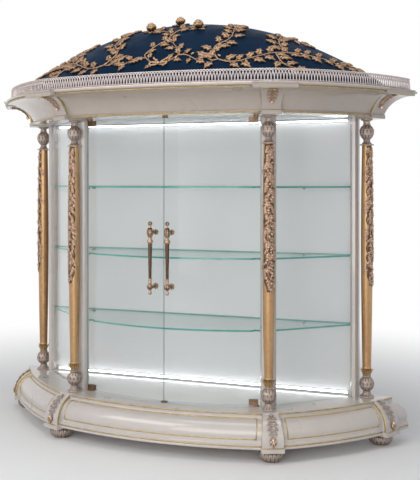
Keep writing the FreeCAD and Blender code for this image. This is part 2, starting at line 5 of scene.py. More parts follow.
import bmesh
import bpy
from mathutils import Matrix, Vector


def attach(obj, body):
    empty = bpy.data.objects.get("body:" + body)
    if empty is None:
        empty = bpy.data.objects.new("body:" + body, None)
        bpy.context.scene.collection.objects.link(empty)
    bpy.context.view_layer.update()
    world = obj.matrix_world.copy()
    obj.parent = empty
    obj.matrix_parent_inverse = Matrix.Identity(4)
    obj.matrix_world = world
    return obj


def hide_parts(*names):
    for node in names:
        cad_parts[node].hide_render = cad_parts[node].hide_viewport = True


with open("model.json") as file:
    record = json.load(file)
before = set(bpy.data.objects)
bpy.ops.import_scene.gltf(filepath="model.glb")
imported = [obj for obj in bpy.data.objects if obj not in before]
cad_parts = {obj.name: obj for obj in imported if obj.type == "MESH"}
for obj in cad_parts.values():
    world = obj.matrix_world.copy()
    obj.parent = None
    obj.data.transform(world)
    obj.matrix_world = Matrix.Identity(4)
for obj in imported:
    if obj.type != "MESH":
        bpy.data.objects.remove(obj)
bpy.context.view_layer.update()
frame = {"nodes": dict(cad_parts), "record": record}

nodes = frame["nodes"]
chance = random.Random(11)

# Sizes as in the solids, lengths in millimetres; u runs right, v forward from the back wall, z up
MM = 0.001
V_MID = 307.0
WALL = -20.0
BASE_APEX = 561.0
BASE_CORNER = (529.0, 488.0)
BASE_END = (1024.0, 15.0)
BASE_BULGE = 41.0
TOP_APEX = 634.0
TOP_CORNER = (562.0, 566.0)
TOP_END = (1065.0, 29.0)
TOP_BULGE = 66.0
FOOT_TALL = 50.0
BASE_BOTTOM = 58.0
DECK_UNDER = 180.0
DECK_TOP = 197.0
BRACKET_BOTTOM = 1489.0
CORNICE_BOTTOM = 1497.0
CORNICE_TOP = 1614.0
GALLERY_TOP = 1676.0
COVE_REACH = 136.0
GALLERY_INSET = 30.0
DOME_TOP = 1973.0
DOME_SET = 36.0
DOME_STRETCH = 968.9 / 545.0
CAP_REACH = 560.0
CAP_RADIUS = 1400.0
SKIRT_CENTRE = (-370.2, -275.2)
SKIRT_RADIUS = 2325.5
DOOR_APEX = 414.0
DOOR_RADIUS = 1169.7
SIDES = {"right": 1.0, "left": -1.0}
COLUMN = {"front": (480.0, 370.0), "back": (858.0, 18.0)}
TURN = {"front": radians(22.7), "back": radians(60.0)}
FOOT_OUT = {"front": 74.0, "back": 77.0}
ROSEBUDS = ((-18.0, 150.0), (-132.0, 236.0), (106.0, 240.0))
BOW_PARTS = 16
SOLVE_STEPS = 40


# Plan and profile geometry
def place(u, v, z):
    return Vector((u * MM, (V_MID - v) * MM, z * MM))


def polar(reach, angle, x=0.0, y=0.0):
    """Place at a distance and in a direction from (x, y)."""
    return x + reach * cos(angle), y + reach * sin(angle)


def turned(x, y, angle):
    """A point of a plane, turned about its origin."""
    return cos(angle) * x - sin(angle) * y, sin(angle) * x + cos(angle) * y


def turns(count, shift=0.0):
    """Angles of places spaced evenly round a circle."""
    return [tau * (k + shift) / count for k in range(count)]


def bow(a, b, c, count):
    """Points along the circle through three points, from a to c by way of b."""
    (x1, y1), (x2, y2), (x3, y3) = a, b, c
    d = 2 * (x1 * (y2 - y3) + x2 * (y3 - y1) + x3 * (y1 - y2))
    s1, s2, s3 = x1 * x1 + y1 * y1, x2 * x2 + y2 * y2, x3 * x3 + y3 * y3
    cx = (s1 * (y2 - y3) + s2 * (y3 - y1) + s3 * (y1 - y2)) / d
    cy = (s1 * (x3 - x2) + s2 * (x1 - x3) + s3 * (x2 - x1)) / d
    radius = hypot(x1 - cx, y1 - cy)
    first = atan2(y1 - cy, x1 - cx)
    middle = (atan2(y2 - cy, x2 - cx) - first) % tau
    sweep = (atan2(y3 - cy, x3 - cx) - first) % tau
    if middle > sweep:
        sweep -= tau
    return [polar(radius, first + sweep * i / count, cx, cy) for i in range(count + 1)]


def profile(steps, step=1.6):
    """Evenly spaced points of a profile of straight steps (r, z) and bowed ones (r, z, r_mid, z_mid)."""
    rough = [steps[0]]
    for s in steps[1:]:
        rough += [s] if len(s) == 2 else bow(rough[-1], s[2:], s[:2], BOW_PARTS)[1:]
    points = [rough[0]]
    for a, b in zip(rough, rough[1:]):
        count = max(1, round(dist(a, b) / step))
        for i in range(1, count + 1):
            points.append((a[0] + (b[0] - a[0]) * i / count, a[1] + (b[1] - a[1]) * i / count))
    return points


def flow(a, b, c, d, t):
    """Value at t from b to c on a smooth curve through four values."""
    square = 2 * a - 5 * b + 4 * c - d
    cube = 3 * b - a - 3 * c + d
    return 0.5 * (2 * b + (c - a) * t + square * t * t + cube * t ** 3)


def smooth(points, per=8):
    """A flowing line through points of any dimension."""
    line = []
    last = len(points) - 1
    for i in range(last):
        four = points[max(i - 1, 0)], points[i], points[i + 1], points[min(i + 2, last)]
        for k in range(per):
            line.append(tuple(flow(*values, k / per) for values in zip(*four)))
    line.append(tuple(points[-1]))
    return line


def between(table, x):
    """Value at x in a table of (x, value) pairs in rising order."""
    for (x0, y0), (x1, y1) in zip(table, table[1:]):
        if x <= x1:
            return y0 + (y1 - y0) * (max(x, x0) - x0) / (x1 - x0)
    return table[-1][1]


class Arc:
    """A bowed run of the plan; a point is an angle and a distance outside the run."""

    def __init__(self, u, v, radius):
        self.u, self.v, self.radius = u, v, radius

    def point(self, angle, d=0.0):
        reach = self.radius + d
        return self.u + reach * sin(angle), self.v + reach * cos(angle)

    def spot(self, angle, d, z, flip):
        u, v = self.point(angle, d)
        return place(flip * u, v, z)

    def angle(self, u, v):
        return atan2(u - self.u, v - self.v)

    def wall(self, d):
        """Angle at which the run meets the wall."""
        return acos((WALL - self.v) / (self.radius + d))


def middle_arc(apex, corner):
    rise = apex - corner[1]
    radius = (corner[0] ** 2 + rise ** 2) / (2 * rise)
    return Arc(0.0, apex - radius, radius)


def side_arc(start, end, swell):
    chord = dist(start, end)
    radius = ((chord / 2) ** 2 + swell ** 2) / (2 * swell)
    out = (start[1] - end[1]) / chord, (end[0] - start[0]) / chord
    back = radius - swell
    return Arc((start[0] + end[0]) / 2 - out[0] * back, (start[1] + end[1]) / 2 - out[1] * back, radius)


BASE_MIDDLE = middle_arc(BASE_APEX, BASE_CORNER)
BASE_SIDE = side_arc(BASE_CORNER, BASE_END, BASE_BULGE)
TOP_MIDDLE = middle_arc(TOP_APEX, TOP_CORNER)
TOP_SIDE = side_arc(TOP_CORNER, TOP_END, TOP_BULGE)


class Station:
    """A column's place: n runs outward from its axis, t along the front, mirrored on the left."""

    def __init__(self, row, side):
        self.row, self.name = row, row + "_" + side
        self.u, self.v = COLUMN[row]
        self.sin, self.cos = sin(TURN[row]), cos(TURN[row])
        self.flip = SIDES[side]

    def plan(self, n, t):
        return self.u + n * self.sin + t * self.cos, self.v + n * self.cos - t * self.sin

    def spot(self, n, t, z):
        u, v = self.plan(n, t)
        return place(self.flip * u, v, z)

    def ring(self, reach, angle, z):
        return self.spot(*polar(reach, angle), z)

    def across(self, u, v):
        return (u - self.u) * self.cos - (v - self.v) * self.sin

    def edge(self, arc):
        """Distance outward from the axis to a run."""
        n = 0.0
        for _ in range(SOLVE_STEPS):
            u, v = self.plan(n, 0.0)
            n += arc.radius - hypot(u - arc.u, v - arc.v)
        return n

    def meets(self, arc, d, t, low, high):
        """Angle at which a run crosses the line at t beside this column."""
        for _ in range(SOLVE_STEPS):
            middle = (low + high) / 2
            if self.across(*arc.point(middle, d)) < t:
                low = middle
            else:
                high = middle
        return (low + high) / 2


STATIONS = [Station(row, side) for row in COLUMN for side in SIDES]
FRONT = Station("front", "right")
BACK = Station("back", "right")


# Mesh making
class Form:
    """Closed shapes gathered into one mesh; crest is 0 in a hollow and 1 on a raised part, and the carved
    finishes paint shade where it is low and highlight where it is high.
    """

    def __init__(self):
        self.points, self.faces, self.crest = [], [], []

    def add(self, points, faces, crest):
        start = len(self.points)
        self.points += points
        self.faces += [[start + i for i in face] for face in faces]
        self.crest += crest

    def piece(self, name, look, slot="gilt_ornament", replaces=(), body="cabinet"):
        mesh = bpy.data.meshes.new(name)
        mesh.from_pydata(self.points, [], self.faces)
        solid = bmesh.new()
        solid.from_mesh(mesh)
        bmesh.ops.recalc_face_normals(solid, faces=solid.faces)
        solid.to_mesh(mesh)
        solid.free()
        mesh.attributes.new("crest", "FLOAT", "POINT").data.foreach_set("value", self.crest)
        mesh.polygons.foreach_set("use_smooth", [True] * len(mesh.polygons))
        mesh.materials.append(look)
        piece = bpy.data.objects.new(name, mesh)
        bpy.context.scene.collection.objects.link(piece)
        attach(piece, body)
        if replaces:
            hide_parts(*replaces)


def skin(rings, sides):
    """Faces of a closed form made of rings of points, with a cap at either end."""
    faces = []
    for i in range(rings - 1):
        low, high = i * sides, (i + 1) * sides
        for k in range(sides):
            m = (k + 1) % sides
            faces.append([low + k, low + m, high + m, high + k])
    return faces + [list(range(sides)), list(range((rings - 1) * sides, rings * sides))]


def tube(form, path, radius, sides=8, crest=0.9):
    """Round strand along a path of points in metres; the radius may be a list in millimetres."""
    last = len(path) - 1
    radii = radius if isinstance(radius, list) else [radius] * len(path)
    points, normal = [], None
    for i, spot in enumerate(path):
        along = (path[min(i + 1, last)] - path[max(i - 1, 0)]).normalized()
        normal = along.orthogonal() if normal is None else normal - along * normal.dot(along)
        normal = normal.normalized()
        side = along.cross(normal)
        for t in turns(sides):
            points.append(spot + (normal * cos(t) + side * sin(t)) * (radii[i] * MM))
    form.add(points, skin(len(path), sides), [crest] * len(points))


def shell(form, high, wide, spot, shade_crest_below=None):
    """Closed shell over a grid; spot(row, column) gives its upper point, its lower point and their crest; a
    crest given for the lower side paints shade on it.
    """
    upper, lower, crest = zip(*(spot(r, c) for r in range(high) for c in range(wide)))
    half = high * wide
    faces = []
    for r in range(high - 1):
        for c in range(wide - 1):
            a = r * wide + c
            faces.append([a, a + 1, a + wide + 1, a + wide])
            faces.append([half + a, half + a + wide, half + a + wide + 1, half + a + 1])
    rim = list(range(wide))
    rim += [r * wide + wide - 1 for r in range(1, high)]
    rim += [(high - 1) * wide + c for c in range(wide - 2, -1, -1)]
    rim += [r * wide for r in range(high - 2, 0, -1)]
    for a, b in zip(rim, rim[1:] + rim[:1]):
        faces.append([a, half + a, half + b, b])
    form.add([*upper, *lower], faces, [*crest, *(crest if shade_crest_below is None else [shade_crest_below] * half)])


def bead(form, at, size, tall=None, crest=1.0, rings=6, sides=10):
    """Small round bud; at maps (x, y, h) to a point, with h away from the ground."""
    tall = tall or 2 * size
    points = [at(0, 0, 0)]
    for i in range(1, rings):
        t = pi * i / rings
        for a in turns(sides):
            points.append(at(*polar(size * sin(t), a), tall * (1 - cos(t)) / 2))
    points.append(at(0, 0, tall))
    faces = []
    for k in range(sides):
        m = (k + 1) % sides
        faces.append([0, 1 + m, 1 + k])
        for i in range(rings - 2):
            a, b = 1 + i * sides, 1 + (i + 1) * sides
            faces.append([a + k, a + m, b + m, b + k])
        top = 1 + (rings - 2) * sides
        faces.append([top + k, top + m, len(points) - 1])
    form.add(points, faces, [crest] * len(points))


# Outlines of leaves as (share of the length, share of the width)
IVY = (
    (0.0, 0.06), (0.08, 0.24), (0.19, 0.50), (0.29, 0.28), (0.43, 0.27), (0.56, 0.42), (0.66, 0.19),
    (0.84, 0.09), (1.0, 0.015))
BAY = ((0.0, 0.06), (0.14, 0.26), (0.34, 0.42), (0.58, 0.36), (0.82, 0.18), (1.0, 0.02))
ACROSS = (-1.0, -0.5, 0.0, 0.5, 1.0)
# Crests of painted shade: in the grooved midrib, and on the sides of a leaf that stands down to the ground
RIB_SHADE_CREST = 0.16
UNDER_SHADE_CREST = 0.1


def leaf(form, at, outline, length, width, arch, thick=1.5, curl=0.0, ground=None):
    """A raised leaf with a grooved midrib; at maps (along, across, height) to a point.

    It is a thin shell, or solid down to the height of the ground where one is given, and then its sides are
    darkened as painted shade.
    """
    def spot(row, column):
        x, w = outline[row]
        f = ACROSS[column]
        h = arch * sin(pi * (0.1 + 0.8 * x)) + curl * x * x - 0.35 * arch * f * f
        h -= 0.3 * arch if f == 0 else 0.0
        low = h - thick if ground is None else ground
        # Crest paints shade in the midrib groove, towards the rims and at the root, and highlight on the
        # lobes
        crest = RIB_SHADE_CREST if f == 0 else 1.0 - 0.38 * abs(f) - 0.2 * (x < 0.1)
        return at(x * length, f * w * width, h), at(x * length, f * w * width, low), crest

    shell(form, len(outline), len(ACROSS), spot, None if ground is None else UNDER_SHADE_CREST)


# Carving on turned parts
def leaf_relief(a, b):
    """Height of a carved leaf from 0 on the ground to 1; a runs across it and b from root to tip."""
    half = 0.48 * sqrt(max(0.0, 1 - b ** 2.6)) * (0.88 + 0.12 * cos(24 * b))
    x = abs(a) / max(half, 0.02)
    if x >= 1:
        return 0.0
    swell = sqrt(1 - x ** 3)
    vein = 0.16 * sin(22 * b - 5 * x)
    return min(1.0, max(0.0, swell * (0.84 + vein) - 0.5 * exp(-(a / 0.055) ** 2)))


def carved_turning(form, station, out, points, bands, sides=96, plain=0.7):
    """Turned form with rings of carved leaves; each band is (root z, tip z, leaves, shift, depth)."""
    spots, crest = [], []
    for r, z in points:
        for k in range(sides):
            turn = k / sides
            height, depth = 1.0, 0.0
            for root, tip, count, shift, deep in bands:
                b = (z - root) / (tip - root)
                if 0 <= b <= 1:
                    a = (turn * count + shift) % 1 - 0.5
                    relief = leaf_relief(a, b)
                    height = relief if depth == 0 else max(height, relief)
                    depth = max(depth, deep)
            reach = max(r - depth * (1 - height), 0.5)
            spots.append(station.spot(*polar(reach, tau * turn, out), z))
            # Crest follows the carved height, so the finish paints shade in the hollows and highlight on the
            # leaves; plain parts take one value
            crest.append(height if depth else plain)
    form.add(spots, skin(len(points), sides), crest)


BEAD = 3.2
BEAD_PITCH = 8.0


def carved_part(kind, station, z, steps, bands, beads=(), out=0.0, sides=96):
    """Turned and carved part with rings of beads, which stands for its node; heights are counted from z."""
    form = Form()
    points = profile([tuple(value + z * (i % 2) for i, value in enumerate(step)) for step in steps])
    raised = [(root + z, tip + z, *leaves) for root, tip, *leaves in bands]
    carved_turning(form, station, out, points, raised, sides)
    for height, reach in beads:
        for turn in turns(round(tau * reach / BEAD_PITCH)):
            spot = station.ring(reach, turn, height + z - BEAD)
            bead(form, lambda x, y, h, s=spot: s + Vector((x, y, h)) * MM, BEAD, 2 * BEAD, rings=5, sides=7)
    name = kind + "_" + station.name
    form.piece("carved_" + name, SILVER, "carved_silver", [name])


# Materials
WHITE = (1.0, 1.0, 1.0)


class Nodes:
    """A node tree that is emptied and built anew."""

    def __init__(self, tree):
        self.tree = tree
        tree.nodes.clear()

    def node(self, kind, sockets=(), **values):
        made = self.tree.nodes.new("ShaderNode" + kind)
        for key, value in values.items():
            setattr(made, key, value)
        for key, value in dict(sockets).items():
            made.inputs[key].default_value = value
        return made

    def link(self, source, target):
        self.tree.links.new(source, target)

    def maths(self, kind, first, second):
        made = self.node("Math", operation=kind)
        for source, target in ((first, made.inputs[0]), (second, made.inputs[1])):
            if isinstance(source, float):
                target.default_value = source
            else:
                self.link(source, target)
        return made.outputs["Value"]

    def blend(self, factor, first, second):
        mix = self.node("MixShader")
        self.link(factor, mix.inputs["Fac"])
        self.link(first, mix.inputs[1])
        self.link(second, mix.inputs[2])
        return mix.outputs["Shader"]

    def seen(self):
        """1 for what shows in the picture, directly, in a mirror or through glass, and 0 for light."""
        path = self.node("LightPath")
        seen = self.maths("MAXIMUM", path.outputs["Is Camera Ray"], path.outputs["Is Glossy Ray"])
        return self.maths("MAXIMUM", seen, path.outputs["Is Transmission Ray"])


class Look(Nodes):
    """A node material around one Principled shader, with textures in the object's own metres."""

    def __init__(self, name, sockets=()):
        self.material = bpy.data.materials.new(name)
        self.material.use_nodes = True
        super().__init__(self.material.node_tree)
        self.out = self.node("OutputMaterial")
        self.shader = self.node("BsdfPrincipled", sockets)
        self.surface(self.shader.outputs["BSDF"])
        self.where = self.node("TexCoord")

    def surface(self, source):
        self.link(source, self.out.inputs["Surface"])

    def noise(self, scale, detail=3.0, rough=0.5, twist=0.0, stretch=None):
        sockets = {"Scale": scale, "Detail": detail, "Roughness": rough, "Distortion": twist}
        made = self.node("TexNoise", sockets)
        source = self.where.outputs["Object"]
        if stretch:
            mapping = self.node("Mapping", {"Scale": stretch})
            self.link(source, mapping.inputs["Vector"])
            source = mapping.outputs["Vector"]
        self.link(source, made.inputs["Vector"])
        return made.outputs["Fac"]

    def crest(self):
        return self.node("Attribute", attribute_name="crest").outputs["Fac"]

    def ramp(self, source, stops):
        made = self.node("ValToRGB")
        bands = made.color_ramp.elements
        while len(bands) < len(stops):
            bands.new(0.5)
        for band, (spot, colour) in zip(bands, stops):
            band.position = spot
            band.color = (*colour, 1.0)
        self.link(source, made.inputs["Fac"])
        return made.outputs["Color"]

    def times(self, colour, shade):
        made = self.node("Mix", {"Factor": 1.0}, data_type="RGBA", blend_type="MULTIPLY")
        self.link(colour, made.inputs["A"])
        self.link(shade, made.inputs["B"])
        return made.outputs["Result"]

    def colour(self, source):
        self.link(source, self.shader.inputs["Base Color"])

    def rough(self, source, low, high):
        made = self.node("MapRange", {"From Min": 0.3, "From Max": 0.7, "To Min": low, "To Max": high})
        self.link(source, made.inputs["Value"])
        self.link(made.outputs["Result"], self.shader.inputs["Roughness"])

    def bump(self, source, strength, distance):
        made = self.node("Bump", {"Strength": strength, "Distance": distance})
        self.link(source, made.inputs["Height"])
        self.link(made.outputs["Normal"], self.shader.inputs["Normal"])

    def finish(self, body, rough, bump):
        """The material with its colour, roughness (noise, low, high) and bump (noise, strength, distance)."""
        self.colour(body)
        self.rough(*rough)
        self.bump(*bump)
        return self.material

    def slope(self, axis):
        """Size of one part of the direction that the surface faces."""
        parts = self.node("SeparateXYZ")
        self.link(self.where.outputs["Normal"], parts.inputs["Vector"])
        return self.maths("ABSOLUTE", parts.outputs[axis], 0.0)


def lacquer(name, low, middle, high):
    """Pearl lacquer with faint clouds, fine flecks and a glossy coat."""
    look = Look(name, {"Coat Weight": 0.7, "Coat Roughness": 0.05})
    cloud = look.ramp(look.noise(2.2, 3.0, 0.5, 0.2), ((0.30, low), (0.50, middle), (0.70, high)))
    fleck = look.ramp(look.noise(30.0, 2.0, 0.5, 0.2), ((0.32, (0.97, 0.967, 0.967)), (0.62, WHITE)))
    rough = look.noise(9.0, 2.0), 0.26, 0.36
    return look.finish(look.times(cloud, fleck), rough, (look.noise(24.0, 1.0), 0.02, 0.0006))


# Deck lacquer lighter than the pearl: partly its own white, partly painted light for what the strips and the
# glass throw on the deck
def lit_deck_lacquer():
    look = Look("lit_deck_lacquer", {"Coat Weight": 0.8, "Coat Roughness": 0.05})
    cloud = look.noise(1.6, 3.0, 0.5, 0.3)
    body = look.ramp(cloud, ((0.3, (0.80, 0.78, 0.755)), (0.7, (0.84, 0.815, 0.785))))
    return look.finish(body, (look.noise(12.0, 2.0), 0.20, 0.25), (look.noise(20.0, 1.0), 0.01, 0.0004))


def metal(name, dark, mid, light, metallic, rough, carved):
    """Gilded or silvered finish; carved, it is darker in its hollows, partly an antique wash and partly
    painted shade, and lighter on its raised parts as painted highlight.
    """
    look = Look(name, {"Metallic": metallic})
    patch = look.noise(26.0, 4.0, 0.6, 0.5)
    if carved:
        # Crest colours: painted shade in the hollows, partly an antique wash, and painted highlight on the
        # raised parts
        body = look.ramp(look.crest(), ((0.0, dark), (0.45, mid), (0.95, light)))
    else:
        body = look.ramp(patch, ((0.28, dark), (0.5, mid), (0.74, light)))
    shade = look.ramp(look.noise(70.0, 3.0), ((0.3, (0.80, 0.78, 0.76)), (0.66, WHITE)))
    return look.finish(look.times(body, shade), (patch, *rough), (look.noise(220.0, 3.0), 0.12, 0.0006))


def gilded_shaft():
    look = Look("gilded_shaft", {"Metallic": 0.75, "Coat Weight": 0.25, "Coat Roughness": 0.2})
    leafing = look.noise(7.0, 4.0, 0.6, 0.3, (3.0, 3.0, 0.5))
    body = look.ramp(leafing, (
        (0.28, (0.335, 0.193, 0.088)), (0.5, (0.43, 0.257, 0.122)), (0.74, (0.52, 0.333, 0.17))))
    rub = look.noise(60.0, 4.0, 0.65)
    worn = look.times(body, look.ramp(rub, ((0.3, (0.84, 0.80, 0.75)), (0.6, WHITE))))
    return look.finish(worn, (rub, 0.30, 0.46), (look.noise(180.0, 3.0), 0.10, 0.0006))


def dome_lacquer():
    look = Look("dome_lacquer", {"Specular IOR Level": 0.02})
    body = look.ramp(look.noise(5.0, 4.0, 0.55, 0.5), (
        (0.3, (0.0012, 0.010, 0.027)), (0.5, (0.0017, 0.014, 0.037)), (0.72, (0.003, 0.019, 0.05))))
    return look.finish(body, (look.noise(22.0, 3.0), 0.36, 0.52), (look.noise(90.0, 3.0), 0.05, 0.0008))


def white_panel():
    look = Look("white_panel", {"Specular IOR Level": 0.4})
    body = look.ramp(look.noise(1.8, 3.0), ((0.3, (0.685, 0.69, 0.695)), (0.7, (0.725, 0.728, 0.73))))
    return look.finish(body, (look.noise(14.0, 3.0), 0.42, 0.58), (look.noise(300.0, 2.0), 0.05, 0.0004))


def board():
    look = Look("carcass_board")
    grain = look.noise(16.0, 5.0, 0.6, 1.2, (0.4, 1.0, 6.0))
    body = look.ramp(grain, (
        (0.3, (0.36, 0.26, 0.17)), (0.55, (0.50, 0.38, 0.26)), (0.75, (0.58, 0.46, 0.33))))
    return look.finish(body, (grain, 0.55, 0.75), (grain, 0.15, 0.0008))


LENS_STEEP = 0.2
LENS_LEVEL = 0.98
LENS_GLOW = 9.0


def diffuser():
    """Light strip: a glowing slanted lens in an aluminium channel, told apart by the slope of the face."""
    look = Look("light_diffuser")
    slope = look.slope("Z")
    slanted = look.maths("GREATER_THAN", slope, LENS_STEEP)
    lens = look.maths("MULTIPLY", slanted, look.maths("LESS_THAN", slope, LENS_LEVEL))
    cells = look.noise(40.0, 2.0)
    glow = look.ramp(cells, ((0.3, (0.90, 0.95, 1.0)), (0.7, WHITE)))
    look.link(glow, look.shader.inputs["Emission Color"])
    look.link(look.maths("MULTIPLY", lens, LENS_GLOW), look.shader.inputs["Emission Strength"])
    look.colour(look.ramp(lens, ((0.0, (0.52, 0.53, 0.54)), (1.0, (0.88, 0.89, 0.90)))))
    look.rough(cells, 0.38, 0.52)
    return look.material


def pane(name, tint, ground):
    """Look of sheet glass, made for its ground edges, and its clear face with a faint mirror."""
    look = Look(name, {"Roughness": 0.18, "Specular IOR Level": 0.6})
    streak = look.noise(18.0, 3.0, 0.5, 0.6, (1.0, 1.0, 0.3))
    look.colour(look.ramp(streak, ((0.3, tuple(0.75 * c for c in ground)), (0.7, ground))))
    clear = look.node("BsdfTransparent", {"Color": (*tint, 1.0)})
    mirror = look.node("BsdfGlossy", {"Color": (0.95, 0.98, 0.98, 1.0), "Roughness": 0.03})
    gloss = look.node("LayerWeight", {"Blend": 0.06})
    return look, look.blend(gloss.outputs["Facing"], clear.outputs["BSDF"], mirror.outputs["BSDF"])


def door_glass():
    look, face = pane("clear_glass", (0.990, 0.994, 0.994), (0.30, 0.41, 0.40))
    upright = look.maths("GREATER_THAN", look.slope("X"), 0.85)
    level = look.maths("GREATER_THAN", look.slope("Z"), 0.5)
    edge = look.maths("MAXIMUM", upright, level)
    look.surface(look.blend(edge, face, look.shader.outputs["BSDF"]))
    return look.material


def shelf_glass():
    look, face = pane("shelf_glass", (0.955, 0.988, 0.98), (0.07, 0.36, 0.32))
    edge = look.maths("LESS_THAN", look.slope("Z"), 0.5)
    look.surface(look.blend(edge, face, look.shader.outputs["BSDF"]))
    return look.material


PEARL = lacquer("pearl_lacquer", (0.51, 0.465, 0.45), (0.55, 0.505, 0.475), (0.575, 0.52, 0.47))
# Darker warmer pearl for the cornice and brackets: partly their own warmer tone, partly painted shade of the
# cove that faces down
SHADED_PEARL = lacquer("shaded_pearl_lacquer", (0.39, 0.335, 0.295), (0.42, 0.362, 0.318), (0.445, 0.38, 0.328))
# Metals: colour in hollows, between and on raised parts, share of metal, range of roughness, carved or plain;
# on carved metals the hollow colour is painted shade, partly an antique wash, and the raised colour is
# painted highlight
GOLD_LINE = metal(
    "gold_line", (0.34, 0.245, 0.095), (0.47, 0.345, 0.145), (0.58, 0.445, 0.22), 0.65, (0.28, 0.45), False)
SILVER = metal(
    "carved_silver", (0.12, 0.085, 0.068), (0.31, 0.24, 0.205), (0.53, 0.445, 0.395), 0.5, (0.28, 0.46), True)
LACE = metal(
    "gallery_silver", (0.06, 0.052, 0.05), (0.32, 0.275, 0.265), (0.62, 0.55, 0.535), 0.6, (0.30, 0.45), True)
GILT = metal(
    "gilt_ornament", (0.025, 0.012, 0.007), (0.21, 0.12, 0.066), (0.51, 0.33, 0.20), 0.6, (0.38, 0.54), True)
CROWN = metal(
    "crown_gilt", (0.09, 0.048, 0.018), (0.44, 0.275, 0.115), (0.72, 0.51, 0.27), 0.75, (0.26, 0.42), True)
ROSE_GILT = metal(
    "rose_gilt", (0.03, 0.017, 0.011), (0.31, 0.192, 0.126), (0.78, 0.56, 0.415), 0.7, (0.26, 0.42), True)
# Hinge brass is darkened part way towards the shade under the cornice: partly its own colour, partly painted
# shade
BRASS = metal(
    "hinge_brass", (0.16, 0.10, 0.06), (0.26, 0.168, 0.10), (0.38, 0.255, 0.16), 0.8, (0.28, 0.42), False)
BRONZE = metal(
    "handle_bronze", (0.012, 0.007, 0.005), (0.125, 0.07, 0.045), (0.78, 0.56, 0.40), 0.8, (0.22, 0.36), True)
LOOKS = {
    "ivory_lacquer": PEARL,
    "gilded_wood": gilded_shaft(),
    "carved_silver": SILVER,
    "gallery_silver": LACE,
    "dome_blue": dome_lacquer(),
    "gilt_ornament": GILT,
    "clear_glass": door_glass(),
    "shelf_glass": shelf_glass(),
    "hinge_brass": BRASS,
    "light_diffuser": diffuser(),
    "white_panel": white_panel(),
    "carcass_board": board(),
}
for subpart in frame["record"]["subparts"]:
    mesh = nodes[subpart["node"]].data
    mesh.materials.clear()
    mesh.materials.append(LOOKS[subpart["material_slot"]])
# The deck takes the lighter lacquer, partly painted light
nodes["deck"].data.materials[0] = lit_deck_lacquer()
# Cornice and brackets take the darker pearl, partly painted shade
for name in nodes:
    if name.startswith(("cornice_", "bracket_")) and name != "cornice_back_rail":
        nodes[name].data.materials[0] = SHADED_PEARL


# Dome: height and direction of its surface
def dome_height(u, v):
    r = hypot(u, (v - DOME_SET) * DOME_STRETCH)
    if r < CAP_REACH:
        return DOME_TOP - CAP_RADIUS + sqrt(CAP_RADIUS ** 2 - r * r)
    return SKIRT_CENTRE[1] + sqrt(max(0.0, SKIRT_RADIUS ** 2 - (r - SKIRT_CENTRE[0]) ** 2))


def dome_normal(u, v):
    slope_u = (dome_height(u + 1, v) - dome_height(u - 1, v)) / 2
    slope_v = (dome_height(u, v + 1) - dome_height(u, v - 1)) / 2
    return Vector((-slope_u, slope_v, 1.0)).normalized()


def on_dome(u, v, lift):
    return place(u, v, dome_height(u, v)) + dome_normal(u, v) * (lift * MM)


def dome_patch(u, v, heading, rise=0.0):
    """Maps (along, across, height) around a place on the dome to a point; heading is an angle in plan."""
    up = dome_normal(u, v)
    along = Vector((cos(heading), -sin(heading), 0.0))
    along = (along - up * along.dot(up)).normalized()
    side = up.cross(along)

    def at(x, y, h):
        return on_dome(u + along.x * x + side.x * y, v - along.y * x - side.y * y, rise + h)

    return at


STEM_LIFT = 2.4
PETIOLE = 12.0
LEAF_RISE = 3.0
LEAF_GROUND = -4.0


def spray(form, stem, gap=28.0, size=51.0, thick=3.8, first=22.0):
    """An ivy stem on the dome with leaves by turns on either side and one at its end."""
    line = smooth(stem)
    spots = [on_dome(u, v, STEM_LIFT) for u, v in line]
    last = len(spots) - 1
    tube(form, spots, [thick * (1 - 0.45 * i / last) for i in range(last + 1)], sides=7, crest=0.7)
    travelled, due, side = 0.0, first, 1
    for i in range(last):
        travelled += (spots[i + 1] - spots[i]).length / MM
        if travelled < due:
            continue
        due += gap * chance.uniform(0.85, 1.15)
        side = -side
        u, v = line[i + 1]
        heading = atan2(line[i + 1][1] - line[i][1], line[i + 1][0] - line[i][0])
        heading += side * radians(chance.uniform(42, 68))
        base = polar(PETIOLE, heading, u, v)
        tube(form, [on_dome(u, v, 2.0), on_dome(*base, 3.5)], [2.4, 2.0], sides=6, crest=0.6)
        long = size * chance.uniform(0.85, 1.12)
        patch = dome_patch(*base, heading, LEAF_RISE)
        leaf(form, patch, IVY, long, long * 0.74, 9.0, curl=chance.uniform(0, 5), ground=LEAF_GROUND)
        if chance.random() < 0.3:
            for far in (12, 17):
                turn = heading + pi + chance.uniform(-0.7, 0.7)
                bead(form, dome_patch(*polar(far, turn, u, v), turn, 1.0), 4.6, 9.0)
    end_heading = atan2(line[-1][1] - line[-3][1], line[-1][0] - line[-3][0])
    patch = dome_patch(*line[-1], end_heading, LEAF_RISE)
    leaf(form, patch, IVY, size * 1.1, size * 0.9, 6.5, curl=3.0, ground=LEAF_GROUND)


